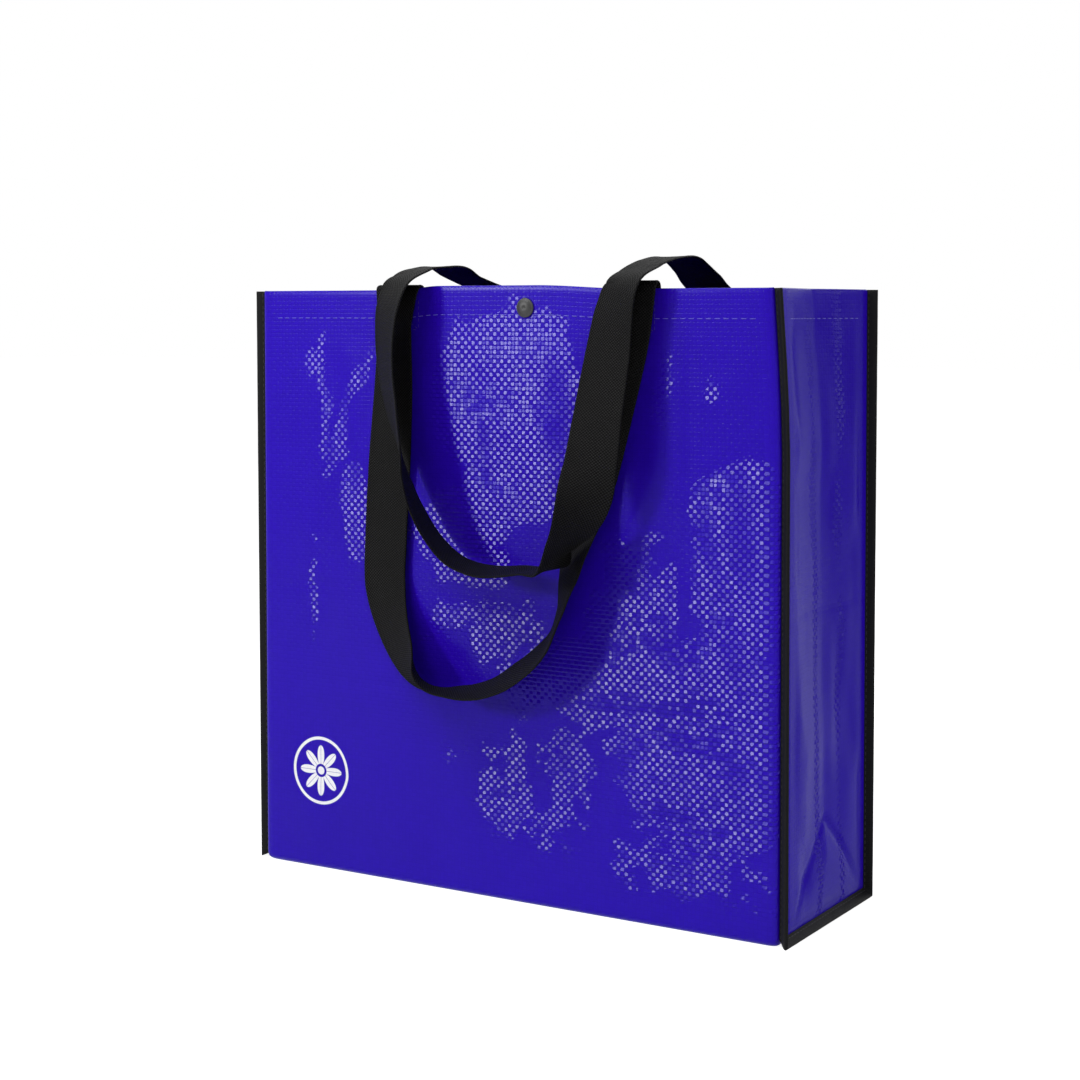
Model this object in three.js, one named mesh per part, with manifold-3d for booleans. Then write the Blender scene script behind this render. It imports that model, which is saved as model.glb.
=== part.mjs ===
import * as THREE from 'three';
import { mergeVertices } from 'three/addons/utils/BufferGeometryUtils.js';
import Module from 'manifold-3d';

// A sewn shopping bag of laminated woven sheet, standing upright and open, in millimetres.
// X is its width, Y its depth with the front panel at -Y, Z is up.
// The origin is on the floor under the middle of the base.

const wasm = await Module();
wasm.setup();

// Overall size of the bag, between the middles of its sheets
const bagWidth = 402;
const bagDepth = 133;
const bagHeight = 400;

// The sheet and its hems
const sheetThickness = 0.4;
const hemDepth = 29;
const hemFoldRadius = 0.7;
const baseFoldRadius = 4;
const clearance = 0.3;

// Seams: the panels roll inwards, then run out together as a fin that the tape wraps
const seamInset = 5.5;
const rollWidth = 9;
const finLength = 10;
const finAngles = {
  left: { front: 6, bottom: 34, back: 45 },
  right: { front: 45, bottom: 34, back: 20 },
};
const gussetCreaseAtTop = 10;
const gussetCreaseAtBase = 1;

// Binding tape
const tapeThickness = 0.5;
const tapeStart = 2;

// Webbing handles
const strapWidth = 35;
const strapThickness = 1.4;
const strapSewnLength = 30;
const frontHandleLeft = -80;
const frontHandleRight = 93;
const backHandleLeft = -84;
const backHandleRight = 90;

// Snap button
const snapX = 17.8;
const snapBelowTop = 11.7;
const capRadius = 6.4;
const capHeight = 2.2;
const shankRadius = 1.6;
const holeRadius = shankRadius + clearance;
const innerSnapRadius = 5.6;
const socketBoreDepth = 1.5;
const studBoreDepth = 1.1;
const roundSides = 24;

// Sheets are opened by this much on each side of the seam's middle surface
const sheetFromMiddle = (sheetThickness + clearance) / 2;
const stackHalf = sheetFromMiddle + sheetThickness / 2 + clearance;
const tapeOuter = stackHalf + tapeThickness;
const tapeReach = finLength + clearance + tapeThickness;

const radians = THREE.MathUtils.degToRad;
const vec = (x, y, z) => new THREE.Vector3(x, y, z);

// The base seam stands just high enough for the bound fin to reach the floor
function seamRise(side) {
  const angle = radians(finAngles[side].bottom);
  return tapeReach * Math.sin(angle) + tapeOuter * Math.cos(angle);
}

// The three sides of a seam: where each fin starts, its tip, and the step across it
function seamStations(side) {
  const sign = side === 'left' ? -1 : 1;
  const rise = seamRise(side);
  const seamX = bagWidth / 2 - seamInset;
  const seamY = bagDepth / 2 - seamInset;
  const { front, bottom, back } = finAngles[side];

  const fin = (angle, edge) => {
    const along = vec(Math.cos(radians(angle)), 0, 0).addScaledVector(edge, Math.sin(radians(angle)));
    const across = vec(Math.sin(radians(angle)), 0, 0).addScaledVector(edge, -Math.cos(radians(angle)));
    return { along, across };
  };
  const frontFin = fin(front, vec(0, -1, 0));
  const bottomFin = fin(bottom, vec(0, 0, -1));
  const backFin = fin(back, vec(0, 1, 0));

  const straight = (start, one) => ({
    start,
    tip: start.clone().addScaledVector(one.along, finLength),
    step: one.across,
  });
  const corner = (start, one) => {
    const tip = start.clone();
    tip.x += (one.along.x + bottomFin.along.x) * finLength / 2;
    tip.y += one.along.y * finLength;
    tip.z += bottomFin.along.z * finLength;
    const line = tip.clone().sub(start);
    // The step keeps its distance from both fins and stays square to the mitre line
    const rows = new THREE.Matrix3().set(
      one.across.x, one.across.y, one.across.z,
      bottomFin.across.x, bottomFin.across.y, bottomFin.across.z,
      line.x, line.y, line.z,
    );
    return { start, tip, step: vec(1, 1, 0).applyMatrix3(rows.invert()) };
  };

  const stations = [
    straight(vec(seamX, -seamY, bagHeight), frontFin),
    corner(vec(seamX, -seamY, rise), frontFin),
    corner(vec(seamX, seamY, rise), backFin),
    straight(vec(seamX, seamY, bagHeight), backFin),
  ];
  for (const one of stations) {
    one.start.x *= sign;
    one.tip.x *= sign;
    one.step.x *= sign;
  }
  return stations;
}

const stationsOf = { left: seamStations('left'), right: seamStations('right') };

// A point on a seam: which of its three sides, how far along, how far out and how far across
function seamPoint(side, leg, along, out, across) {
  const one = stationsOf[side][leg];
  const next = stationsOf[side][leg + 1];
  const start = one.start.clone().lerp(next.start, along);
  const tip = one.tip.clone().lerp(next.tip, along);
  const step = one.step.clone().lerp(next.step, along);
  return start.lerp(tip, out / finLength).addScaledVector(step, across);
}

const ease = (t) => t * t * (3 - 2 * t);

// Turns a grid of middle points into one closed sheet; only the cells that are present are made
function thickSheet(grid, present, thickness) {
  const rows = grid.length;
  const columns = grid[0].length;
  const has = (r, c) => r >= 0 && c >= 0 && r < rows - 1 && c < columns - 1 && present(r, c);
  const faces = new Map();
  const sums = grid.map((row) => row.map(() => []));
  for (let r = 0; r < rows - 1; r += 1) {
    for (let c = 0; c < columns - 1; c += 1) {
      if (has(r, c)) {
        const across = grid[r + 1][c + 1].clone().sub(grid[r][c]);
        const other = grid[r + 1][c].clone().sub(grid[r][c + 1]);
        const normal = across.cross(other).normalize();
        faces.set(r * columns + c, normal);
        for (const [i, j] of [[r, c], [r + 1, c], [r, c + 1], [r + 1, c + 1]]) {
          sums[i][j].push(normal);
        }
      }
    }
  }

  const positions = [];
  const numbers = grid.map((row) => row.map(() => -1));
  const leastCosine = 0.45;
  for (let r = 0; r < rows; r += 1) {
    for (let c = 0; c < columns; c += 1) {
      if (sums[r][c].length > 0) {
        const normal = sums[r][c].reduce((sum, one) => sum.add(one), vec(0, 0, 0)).normalize();
        const cosine = Math.max(leastCosine, Math.min(...sums[r][c].map((one) => one.dot(normal))));
        const push = normal.multiplyScalar(thickness / 2 / cosine);
        numbers[r][c] = positions.length / 3;
        positions.push(...grid[r][c].clone().add(push).toArray());
        positions.push(...grid[r][c].clone().sub(push).toArray());
      }
    }
  }

  const triangles = [];
  const quad = (a, b, c, d) => triangles.push(a, b, c, a, c, d);
  for (let r = 0; r < rows - 1; r += 1) {
    for (let c = 0; c < columns - 1; c += 1) {
      if (has(r, c)) {
        const a = numbers[r][c];
        const b = numbers[r][c + 1];
        const d = numbers[r + 1][c];
        const e = numbers[r + 1][c + 1];
        quad(a, d, e, b);
        quad(a + 1, b + 1, e + 1, d + 1);
        if (!has(r - 1, c)) quad(a, b, b + 1, a + 1);
        if (!has(r + 1, c)) quad(e, d, d + 1, e + 1);
        if (!has(r, c - 1)) quad(d, a, a + 1, d + 1);
        if (!has(r, c + 1)) quad(b, e, e + 1, b + 1);
      }
    }
  }
  return closedGeometry(positions, triangles);
}

// An indexed geometry whose faces point outwards
function closedGeometry(positions, triangles) {
  const point = (i) => vec(positions[3 * i], positions[3 * i + 1], positions[3 * i + 2]);
  let volume = 0;
  for (let i = 0; i < triangles.length; i += 3) {
    volume += point(triangles[i]).dot(point(triangles[i + 1]).cross(point(triangles[i + 2])));
  }
  const index = volume > 0 ? triangles : triangles.slice().reverse();
  const geometry = new THREE.BufferGeometry();
  geometry.setAttribute('position', new THREE.Float32BufferAttribute(positions, 3));
  geometry.setIndex(index);
  return geometry;
}

function toSolid(geometry) {
  const bare = geometry.clone();
  bare.deleteAttribute('normal');
  bare.deleteAttribute('uv');
  const merged = mergeVertices(bare);
  return new wasm.Manifold(new wasm.Mesh({
    numProp: 3,
    vertProperties: new Float32Array(merged.attributes.position.array),
    triVerts: new Uint32Array(merged.index.array),
  }));
}

function toGeometry(solid) {
  const mesh = solid.getMesh();
  const geometry = new THREE.BufferGeometry();
  geometry.setAttribute('position', new THREE.BufferAttribute(mesh.vertProperties, mesh.numProp));
  geometry.setIndex(new THREE.BufferAttribute(mesh.triVerts, 1));
  return geometry;
}

// Columns across a panel: fin, seam, roll, flat middle, roll, seam, fin, as distances from its middle
function columnsAcross(edge, seam, flatPositions) {
  const rollShares = [1, 2 / 3, 1 / 3];
  const half = [
    { kind: 'tip', share: 1 },
    { kind: 'seam', share: 1 },
    ...rollShares.slice(1).map((share) => ({ kind: 'roll', share, at: edge + (seam - edge) * share })),
  ];
  const left = half.map((one) => ({ ...one, side: -1 }));
  const right = half.map((one) => ({ ...one, side: 1 })).reverse();
  const flat = [-edge, ...flatPositions, edge].map((at) => ({ kind: 'flat', at }));
  const flatten = (one) => (one.at === undefined ? one : { ...one, at: one.side * one.at });
  return [...left.map(flatten), ...flat, ...right.map(flatten)];
}

// Front panel, base and back panel: one continuous sheet with both top hems folded in
function bodySheet() {
  const halfDepth = bagDepth / 2;
  const seamX = bagWidth / 2 - seamInset;
  const edgeX = seamX - rollWidth;
  const flapY = halfDepth - 2 * hemFoldRadius;
  const foldTop = bagHeight - hemFoldRadius;
  const cornerSteps = [-1, -0.5, 0, 0.5, 1];
  const cornerReach = 3;
  const legLength = bagHeight - seamRise('right');
  const baseLength = bagDepth - 2 * seamInset;
  const heights = [0.75, 0.5, 0.25];

  // Each row has its own place in the section and its place on the seam: side number and share
  const rows = [];
  rows.push({ y: -flapY, z: bagHeight - hemDepth, hem: true });
  rows.push({ y: -flapY, z: foldTop, hem: true });
  rows.push({ y: -halfDepth + hemFoldRadius, z: bagHeight, hem: true });
  rows.push({ y: -halfDepth, z: foldTop, leg: 0, along: 0 });
  for (const share of heights) {
    const z = baseFoldRadius + (foldTop - baseFoldRadius) * share;
    rows.push({ y: -halfDepth, z, leg: 0, along: 1 - share });
  }
  const corner = (sign) => {
    for (const step of cornerSteps) {
      const angle = radians(45 * (1 + step));
      const y = halfDepth - baseFoldRadius + baseFoldRadius * Math.cos(angle);
      const z = baseFoldRadius - baseFoldRadius * Math.sin(angle) + sheetThickness / 2;
      const onLeg = 1 + step * cornerReach / legLength;
      const onBase = step * cornerReach / baseLength;
      rows.push(step <= 0
        ? { y: sign * y, z, leg: 0, along: onLeg, sign }
        : { y: sign * y, z, leg: 1, along: onBase, sign });
    }
  };
  corner(-1);
  for (const share of [0.33, 0.67]) {
    rows.push({ y: (share - 0.5) * bagDepth, z: sheetThickness / 2, leg: 1, along: share });
  }
  const backCorner = rows.length;
  corner(1);
  const turned = rows.splice(backCorner).reverse();
  for (const row of turned) {
    rows.push(row.leg === 0
      ? { ...row, leg: 2, along: 1 - row.along }
      : { ...row, along: 1 - row.along });
  }
  for (const share of heights.slice().reverse()) {
    const z = baseFoldRadius + (foldTop - baseFoldRadius) * share;
    rows.push({ y: halfDepth, z, leg: 2, along: share });
  }
  rows.push({ y: halfDepth, z: foldTop, leg: 2, along: 1 });
  rows.push({ y: halfDepth - hemFoldRadius, z: bagHeight, hem: true });
  rows.push({ y: flapY, z: foldTop, hem: true });
  rows.push({ y: flapY, z: bagHeight - hemDepth, hem: true });

  const columns = columnsAcross(edgeX, seamX, [-120, -40, 40, 120].map((x) => x * bagWidth / 402));
  const grid = rows.map((row) => columns.map((column) => {
    if (column.kind === 'flat' || row.hem) {
      return vec(column.at ?? column.side * seamX, row.y, row.z);
    }
    const side = column.side < 0 ? 'left' : 'right';
    const out = column.kind === 'tip' ? finLength : 0;
    const seam = seamPoint(side, row.leg, row.along, out, -sheetFromMiddle);
    if (column.kind !== 'roll') {
      return seam;
    }
    const panel = vec(column.at, row.y, row.z);
    return vec(column.at, panel.y, panel.z).lerp(vec(column.at, seam.y, seam.z), ease(column.share));
  }));
  const firstFlat = columns.findIndex((one) => one.kind === 'flat');
  const lastFlat = columns.length - 1 - firstFlat;
  const present = (r, c) => {
    const hem = rows[r].hem || rows[r + 1].hem;
    return !hem || (c >= firstFlat && c < lastFlat);
  };
  const sheet = toSolid(thickSheet(grid, present, sheetThickness));
  return toGeometry([-1, 1].reduce((cut, sign) => cut.subtract(snapHole(sign)), sheet));
}

// The hole for a snap's shank, through panel and hem
function snapHole(sign) {
  const length = 6 * hemFoldRadius;
  const hole = new THREE.CylinderGeometry(holeRadius, holeRadius, length, roundSides);
  hole.translate(snapX, sign * (bagDepth / 2 - hemFoldRadius), bagHeight - snapBelowTop);
  return toSolid(hole);
}

// One side panel, folded inwards down its middle, with its own top hem
function gusset(side) {
  const sign = side === 'left' ? -1 : 1;
  const halfWidth = bagWidth / 2;
  const seamY = bagDepth / 2 - seamInset;
  const edgeY = seamY - rollWidth;
  const rise = seamRise(side);
  const edgeZ = rise + rollWidth;
  const foldTop = bagHeight - hemFoldRadius;

  const rows = [
    { kind: 'tip' },
    { kind: 'seam', z: rise, share: 1 },
    ...[2 / 3, 1 / 3].map((share) => ({ z: edgeZ - rollWidth * share, share })),
    ...[0, 0.25, 0.5, 0.75, 1].map((up) => ({ z: edgeZ + (foldTop - edgeZ) * up, share: 0 })),
    { z: bagHeight, share: 0, hem: hemFoldRadius },
    { z: foldTop, share: 0, hem: 2 * hemFoldRadius },
    { z: bagHeight - hemDepth, share: 0, hem: 2 * hemFoldRadius },
  ];
  const columns = columnsAcross(edgeY, seamY, [-edgeY / 2, 0, edgeY / 2]);
  const legLength = bagHeight - rise;
  const onLeg = (z) => THREE.MathUtils.clamp((bagHeight - z) / legLength, 0, 1);

  const grid = rows.map((row) => columns.map((column) => {
    const y = column.at ?? column.side * seamY;
    const leg = column.side < 0 ? 0 : 2;
    if (row.kind === 'tip') {
      const along = THREE.MathUtils.clamp((y + seamY) / (2 * seamY), 0, 1);
      return seamPoint(side, 1, along, finLength, sheetFromMiddle);
    }
    if (column.kind === 'tip' || column.kind === 'seam') {
      const out = column.kind === 'tip' ? finLength : 0;
      const along = onLeg(row.z);
      return seamPoint(side, leg, leg === 0 ? along : 1 - along, out, sheetFromMiddle);
    }
    if (row.kind === 'seam') {
      return seamPoint(side, 1, (y + seamY) / (2 * seamY), 0, sheetFromMiddle);
    }
    const up = (row.z - rise) / (bagHeight - rise);
    const depth = THREE.MathUtils.lerp(gussetCreaseAtBase, gussetCreaseAtTop, up);
    const crease = depth * (1 - Math.abs(y) / seamY);
    const roll = seamInset * ease(Math.max(row.share, column.share ?? 0));
    return vec(sign * (halfWidth - Math.max(roll, crease) - (row.hem ?? 0)), y, row.z);
  }));
  const firstFlat = columns.findIndex((one) => one.kind === 'flat');
  const lastFlat = columns.length - 1 - firstFlat;
  const present = (r, c) => !rows[r + 1].hem || (c >= firstFlat && c < lastFlat);
  return thickSheet(grid, present, sheetThickness);
}

// The tape folded round a seam's three sides
function binding(side) {
  const inner = finLength + clearance;
  const bevel = tapeThickness;
  const section = [
    [tapeStart, -tapeOuter],
    [inner, -tapeOuter],
    [inner + bevel, bevel - tapeOuter],
    [inner + bevel, tapeOuter - bevel],
    [inner, tapeOuter],
    [tapeStart, tapeOuter],
    [tapeStart, stackHalf],
    [inner, stackHalf],
    [inner, -stackHalf],
    [tapeStart, -stackHalf],
  ];
  const rings = [];
  for (const leg of [0, 1, 2]) {
    for (const along of [0, 0.25, 0.5, 0.75]) {
      rings.push(section.map(([out, across]) => seamPoint(side, leg, along, out, across)));
    }
  }
  rings.push(section.map(([out, across]) => seamPoint(side, 2, 1, out, across)));
  return loft(rings, section.map(([a, b]) => new THREE.Vector2(a, b)));
}

// Joins equal rings of points into one closed solid, with flat ends
function loft(rings, outline) {
  const count = outline.length;
  const positions = rings.flat().flatMap((one) => one.toArray());
  const triangles = [];
  for (let r = 0; r < rings.length - 1; r += 1) {
    for (let i = 0; i < count; i += 1) {
      const a = r * count + i;
      const b = r * count + (i + 1) % count;
      triangles.push(a, b, b + count, a, b + count, a + count);
    }
  }
  const caps = THREE.ShapeUtils.triangulateShape(outline, []);
  const last = (rings.length - 1) * count;
  const forward = THREE.ShapeUtils.isClockWise(outline) ? 1 : -1;
  for (const [a, b, c] of caps) {
    const [p, q] = forward > 0 ? [b, c] : [c, b];
    triangles.push(a, p, q, last + a, last + q, last + p);
  }
  return closedGeometry(positions, triangles);
}

// Stations of a handle: a centre point and the direction of the webbing's width
const outside = (x, out, drop, ...wide) => ({
  centre: vec(x, -bagDepth / 2 - out, bagHeight - drop), wide: vec(...wide),
});
const overMouth = (x, share, lift, ...wide) => ({
  centre: vec(x, (share - 0.5) * bagDepth, bagHeight + lift), wide: vec(...wide),
});

// The sewn end of a handle, flat on the inside of a hem
const sewnInset = 2 * hemFoldRadius + sheetThickness / 2 + clearance + strapThickness / 2;
function sewnEnd(x, panel, wide) {
  const y = panel * (bagDepth / 2 - sewnInset);
  return [strapSewnLength, strapSewnLength * 0.6, strapSewnLength * 0.3].map((drop) => ({
    centre: vec(x, y, bagHeight - drop), wide: vec(wide, 0, 0),
  }));
}

// The turn from the inside of the front hem over the top edge, as high above it as the hump
function overTheEdge(x, wide, hump) {
  return [
    outside(x, -sewnInset, 0, wide, 0, 0),
    outside(x, -sewnInset * 0.65, -hump * 0.7, wide, 0, 0),
    outside(x, hemFoldRadius, -hump, wide, 0, 0),
    outside(x, hemFoldRadius + 2.6, -hump * 0.5, wide, 0, 0),
  ];
}

function handle(stations) {
  const centres = new THREE.CatmullRomCurve3(stations.map((one) => one.centre), false, 'centripetal');
  const steps = 3;
  const rings = [];
  const corners = [[-1, -1], [1, -1], [1, 1], [-1, 1]];
  const total = (stations.length - 1) * steps;
  for (let i = 0; i <= total; i += 1) {
    const at = i / total;
    const station = Math.min(Math.floor(i / steps), stations.length - 2);
    const share = i / steps - station;
    const tangent = centres.getTangent(at);
    const wide = stations[station].wide.clone().lerp(stations[station + 1].wide, share);
    wide.addScaledVector(tangent, -wide.dot(tangent)).normalize();
    const thick = tangent.clone().cross(wide);
    rings.push(corners.map(([w, t]) => centres.getPoint(at)
      .addScaledVector(wide, w * strapWidth / 2)
      .addScaledVector(thick, t * strapThickness / 2)));
  }
  const outline = corners.map(([w, t]) => new THREE.Vector2(w * strapWidth, t * strapThickness));
  return loft(rings, outline);
}

// Sewn inside the front hem, over the top edge, then a loop that hangs down the front
function frontHandle() {
  return handle([
    ...sewnEnd(frontHandleLeft, -1, -1),
    ...overTheEdge(frontHandleLeft, -1, 3),
    outside(-80, 7, 23, -0.95, 0.3, 0),
    outside(-82, 6.4, 67, -0.99, 0.15, 0),
    outside(-86.5, 4.5, 114, -1, 0.03, -0.03),
    outside(-89.5, 4.5, 161.5, -1, 0.03, -0.05),
    outside(-90, 5, 197.5, -0.99, 0.06, -0.09),
    outside(-82, 8, 223, -0.93, 0.29, -0.21),
    outside(-70, 11.7, 242.5, -0.85, 0.47, -0.22),
    outside(-55, 16.6, 255, -0.71, 0.69, -0.16),
    outside(-40, 19.6, 260, -0.54, 0.84, -0.04),
    outside(-22.5, 20, 260.5, -0.33, 0.94, 0.03),
    outside(-1.5, 20, 257, -0.19, 0.95, 0.23),
    outside(17, 19, 248, -0.11, 0.88, 0.46),
    outside(34, 18.2, 235.5, -0.16, 0.86, 0.49),
    outside(45, 17.6, 223.5, -0.34, 0.86, 0.34),
    outside(51.5, 15.6, 205.5, -0.52, 0.85, 0.1),
    outside(55.5, 15.4, 189.5, -0.66, 0.75, 0.1),
    outside(58.5, 13.6, 177.5, -0.75, 0.65, 0.12),
    outside(59.5, 11.6, 165, -0.85, 0.5, 0.15),
    outside(61.5, 8.8, 150.5, -0.94, 0.3, 0.18),
    outside(65, 6.8, 136.5, -0.98, 0.12, 0.18),
    outside(71, 4.6, 115.5, -0.98, 0.03, 0.18),
    outside(82, 4, 73, -0.99, 0, 0.15),
    outside(90, 4, 30, -1, 0, 0.08),
    ...overTheEdge(frontHandleRight, -1, 4.6).reverse(),
    ...sewnEnd(frontHandleRight, -1, -1).reverse(),
  ]);
}

// Sewn inside the back hem, leaning over the mouth, then a shorter loop in front of the other one
function backHandle() {
  return handle([
    ...sewnEnd(backHandleLeft, 1, -1),
    overMouth(-84, 0.973, -5.3, -1, 0.02, 0),
    overMouth(-84.2, 0.943, -1.3, -1, 0.05, 0),
    overMouth(-84.6, 0.88, 2, -1, 0.1, 0),
    overMouth(-85.8, 0.76, 6, -0.98, 0.18, 0),
    overMouth(-85, 0.61, 10.5, -0.96, 0.28, 0),
    overMouth(-80, 0.43, 15.5, -0.93, 0.36, 0),
    overMouth(-74.5, 0.23, 15.5, -0.88, 0.47, 0),
    outside(-72.5, -3, -11.6, -0.86, 0.51, 0),
    outside(-74.8, 12.5, -4, -0.86, 0.51, 0.06),
    outside(-78, 18.6, 11.5, -0.86, 0.51, 0.03),
    outside(-80, 19.2, 30, -0.82, 0.57, -0.02),
    outside(-78.5, 20, 53, -0.78, 0.63, -0.03),
    outside(-73.5, 21, 76.5, -0.73, 0.68, -0.05),
    outside(-65.5, 22.7, 103, -0.62, 0.78, 0.08),
    outside(-59, 24.4, 123.5, -0.47, 0.88, 0.08),
    outside(-50, 25.5, 143, -0.33, 0.94, -0.03),
    outside(-38, 24, 161.5, -0.26, 0.96, -0.05),
    outside(-22.5, 22.2, 175, -0.2, 0.98, 0),
    outside(-1, 21, 180.5, -0.18, 0.97, 0.08),
    outside(20, 21.4, 179.5, -0.1, 0.97, 0.09),
    outside(40.5, 25.5, 177.5, 0, 1, 0),
    outside(55, 32, 174, -0.03, 1, 0),
    outside(61, 35.5, 167.5, -0.07, 1, 0),
    outside(66, 36.5, 160, 0.09, 1, -0.04),
    outside(73.5, 36.5, 149, 0.37, 0.92, -0.08),
    outside(79.5, 34.5, 133.5, 0.71, 0.69, -0.12),
    outside(83, 31, 110, 0.98, 0.17, -0.13),
    outside(85.5, 25.7, 77.5, 0.99, -0.04, -0.12),
    outside(88.5, 19, 41, 0.98, -0.15, -0.1),
    outside(92.5, 16, 9.5, 0.93, -0.36, -0.03),
    outside(96.5, 13, -4, 0.89, -0.46, 0),
    outside(98, -6.5, -13, 0.88, -0.48, 0),
    overMouth(98.5, 0.245, 19, 0.89, -0.46, 0),
    overMouth(97, 0.46, 20, 0.91, -0.42, 0),
    overMouth(95.5, 0.665, 11.5, 0.95, -0.3, 0),
    overMouth(92.5, 0.8, 4.5, 0.99, -0.16, 0),
    overMouth(90.8, 0.9, -0.2, 1, -0.08, 0),
    overMouth(90.3, 0.95, -2.6, 1, -0.04, 0),
    overMouth(90, 0.974, -5.6, 1, 0, 0),
    ...sewnEnd(backHandleRight, 1, 1).reverse(),
  ]);
}

// Snap pieces are turned round an axis that runs out of their panel
function snapPiece(profile, panel, offset) {
  const points = profile.map(([r, h]) => new THREE.Vector2(r, h));
  const geometry = new THREE.LatheGeometry(points, roundSides);
  geometry.deleteAttribute('normal');
  geometry.deleteAttribute('uv');
  const solid = mergeVertices(geometry, 1e-4);
  solid.rotateX(panel < 0 ? Math.PI : 0);
  solid.translate(snapX, panel * (bagDepth / 2 + offset), bagHeight - snapBelowTop);
  const kept = [];
  const { array } = solid.index;
  for (let i = 0; i < array.length; i += 3) {
    const [a, b, c] = array.slice(i, i + 3);
    if (a !== b && b !== c && c !== a) {
      kept.push(a, b, c);
    }
  }
  return closedGeometry(Array.from(solid.attributes.position.array), kept);
}

const outerFace = sheetThickness / 2 + clearance;
const innerFace = 2 * hemFoldRadius + sheetThickness / 2 + clearance;

// The domed outer cap with the shank that passes through the hem into the inner piece
function snapCap(panel, boreDepth) {
  const shank = outerFace + innerFace + boreDepth - clearance;
  return snapPiece([
    [0, -shank],
    [shankRadius, -shank],
    [shankRadius, 0],
    [capRadius - 0.4, 0],
    [capRadius, 0.5],
    [capRadius - 0.4, 1.2],
    [capRadius * 0.7, capHeight - 0.3],
    [0, capHeight],
  ], panel, outerFace);
}

function snapSocket() {
  const cavityRadius = 3.1;
  const depth = 3.2;
  return snapPiece([
    [0, depth - 1.2],
    [cavityRadius, depth - 1.2],
    [cavityRadius, depth],
    [innerSnapRadius - 1, depth],
    [innerSnapRadius, depth - 0.8],
    [innerSnapRadius, 0],
    [holeRadius, 0],
    [holeRadius, socketBoreDepth],
    [0, socketBoreDepth],
  ].map(([r, h]) => [r, -h]), -1, -innerFace);
}

function snapStud() {
  return snapPiece([
    [0, 3.5],
    [2.4, 3.3],
    [2.8, 2.5],
    [2.3, 1.4],
    [innerSnapRadius - 0.8, 1.4],
    [innerSnapRadius, 0.9],
    [innerSnapRadius, 0],
    [holeRadius, 0],
    [holeRadius, studBoreDepth],
    [0, studBoreDepth],
  ].map(([r, h]) => [r, -h]), 1, -innerFace);
}

const sheetMaterial = new THREE.MeshStandardMaterial({ color: 0x2a12c4, roughness: 0.3, metalness: 0 });
const tapeMaterial = new THREE.MeshStandardMaterial({ color: 0x141416, roughness: 0.8, metalness: 0 });
const strapMaterial = new THREE.MeshStandardMaterial({ color: 0x1a1a1c, roughness: 0.75, metalness: 0 });
const snapMaterial = new THREE.MeshStandardMaterial({ color: 0x1c1c1e, roughness: 0.45, metalness: 0 });

const bag = new THREE.Group();
function add(name, geometry, material) {
  const mesh = new THREE.Mesh(geometry, material);
  mesh.name = name;
  bag.add(mesh);
}

add('body_sheet', bodySheet(), sheetMaterial);
add('gusset_left', gusset('left'), sheetMaterial);
add('gusset_right', gusset('right'), sheetMaterial);
add('binding_left', binding('left'), tapeMaterial);
add('binding_right', binding('right'), tapeMaterial);
add('front_handle', frontHandle(), strapMaterial);
add('back_handle', backHandle(), strapMaterial);
add('snap_cap_front', snapCap(-1, socketBoreDepth), snapMaterial);
add('snap_socket', snapSocket(), snapMaterial);
add('snap_cap_back', snapCap(1, studBoreDepth), snapMaterial);
add('snap_stud', snapStud(), snapMaterial);

export default bag;
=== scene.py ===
import math

import bpy
import numpy as np
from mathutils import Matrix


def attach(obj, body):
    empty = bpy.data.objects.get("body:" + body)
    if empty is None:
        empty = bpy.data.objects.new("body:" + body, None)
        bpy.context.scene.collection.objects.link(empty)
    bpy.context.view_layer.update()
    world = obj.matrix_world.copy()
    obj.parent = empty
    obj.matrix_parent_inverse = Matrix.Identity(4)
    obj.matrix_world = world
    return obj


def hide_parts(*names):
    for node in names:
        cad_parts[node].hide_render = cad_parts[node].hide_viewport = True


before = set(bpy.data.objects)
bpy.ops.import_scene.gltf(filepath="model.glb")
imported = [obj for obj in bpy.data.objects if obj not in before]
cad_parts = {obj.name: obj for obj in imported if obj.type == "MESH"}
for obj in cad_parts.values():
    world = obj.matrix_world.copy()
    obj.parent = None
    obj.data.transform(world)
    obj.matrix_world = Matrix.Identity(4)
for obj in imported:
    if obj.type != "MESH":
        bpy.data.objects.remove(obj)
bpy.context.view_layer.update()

# Sizes in millimetres, the same as in the CAD model
MM = 0.001
BAG_WIDTH = 402
BAG_DEPTH = 133
BAG_HEIGHT = 400
SHEET = 0.4
HEM_DEPTH = 29
HEM_FOLD = 0.7
BASE_FOLD = 4
CLEARANCE = 0.3
SEAM_INSET = 5.5
ROLL_WIDTH = 9
FIN_LENGTH = 10
FIN_ANGLES = {
    "left": {"front": 6, "bottom": 34, "back": 45},
    "right": {"front": 45, "bottom": 34, "back": 20},
}
CREASE_AT_TOP = 10
CREASE_AT_BASE = 1
TAPE = 0.5
STRAP_WIDTH = 35
STRAP_THICKNESS = 1.4
STRAP_SEWN = 30
SNAP_X = 17.8
SNAP_BELOW_TOP = 11.7
SNAP_CAP_RADIUS = 6.4
SNAP_CAP_HEIGHT = 2.2
SNAP_SHANK_RADIUS = 1.6

SHEET_FROM_MIDDLE = (SHEET + CLEARANCE) / 2
STACK_HALF = SHEET_FROM_MIDDLE + SHEET / 2 + CLEARANCE
TAPE_OUTER = STACK_HALF + TAPE
TAPE_REACH = FIN_LENGTH + CLEARANCE + TAPE
SEAM_X = BAG_WIDTH / 2 - SEAM_INSET
SEAM_Y = BAG_DEPTH / 2 - SEAM_INSET
HALF_DEPTH = BAG_DEPTH / 2
BAG_MIDDLE = (0, 0, BAG_HEIGHT / 2)

# The sheet is woven of flat tapes this far apart
TAPE_PITCH = 2.8


def ease(t):
    t = np.clip(t, 0, 1)
    return t * t * (3 - 2 * t)


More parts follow.
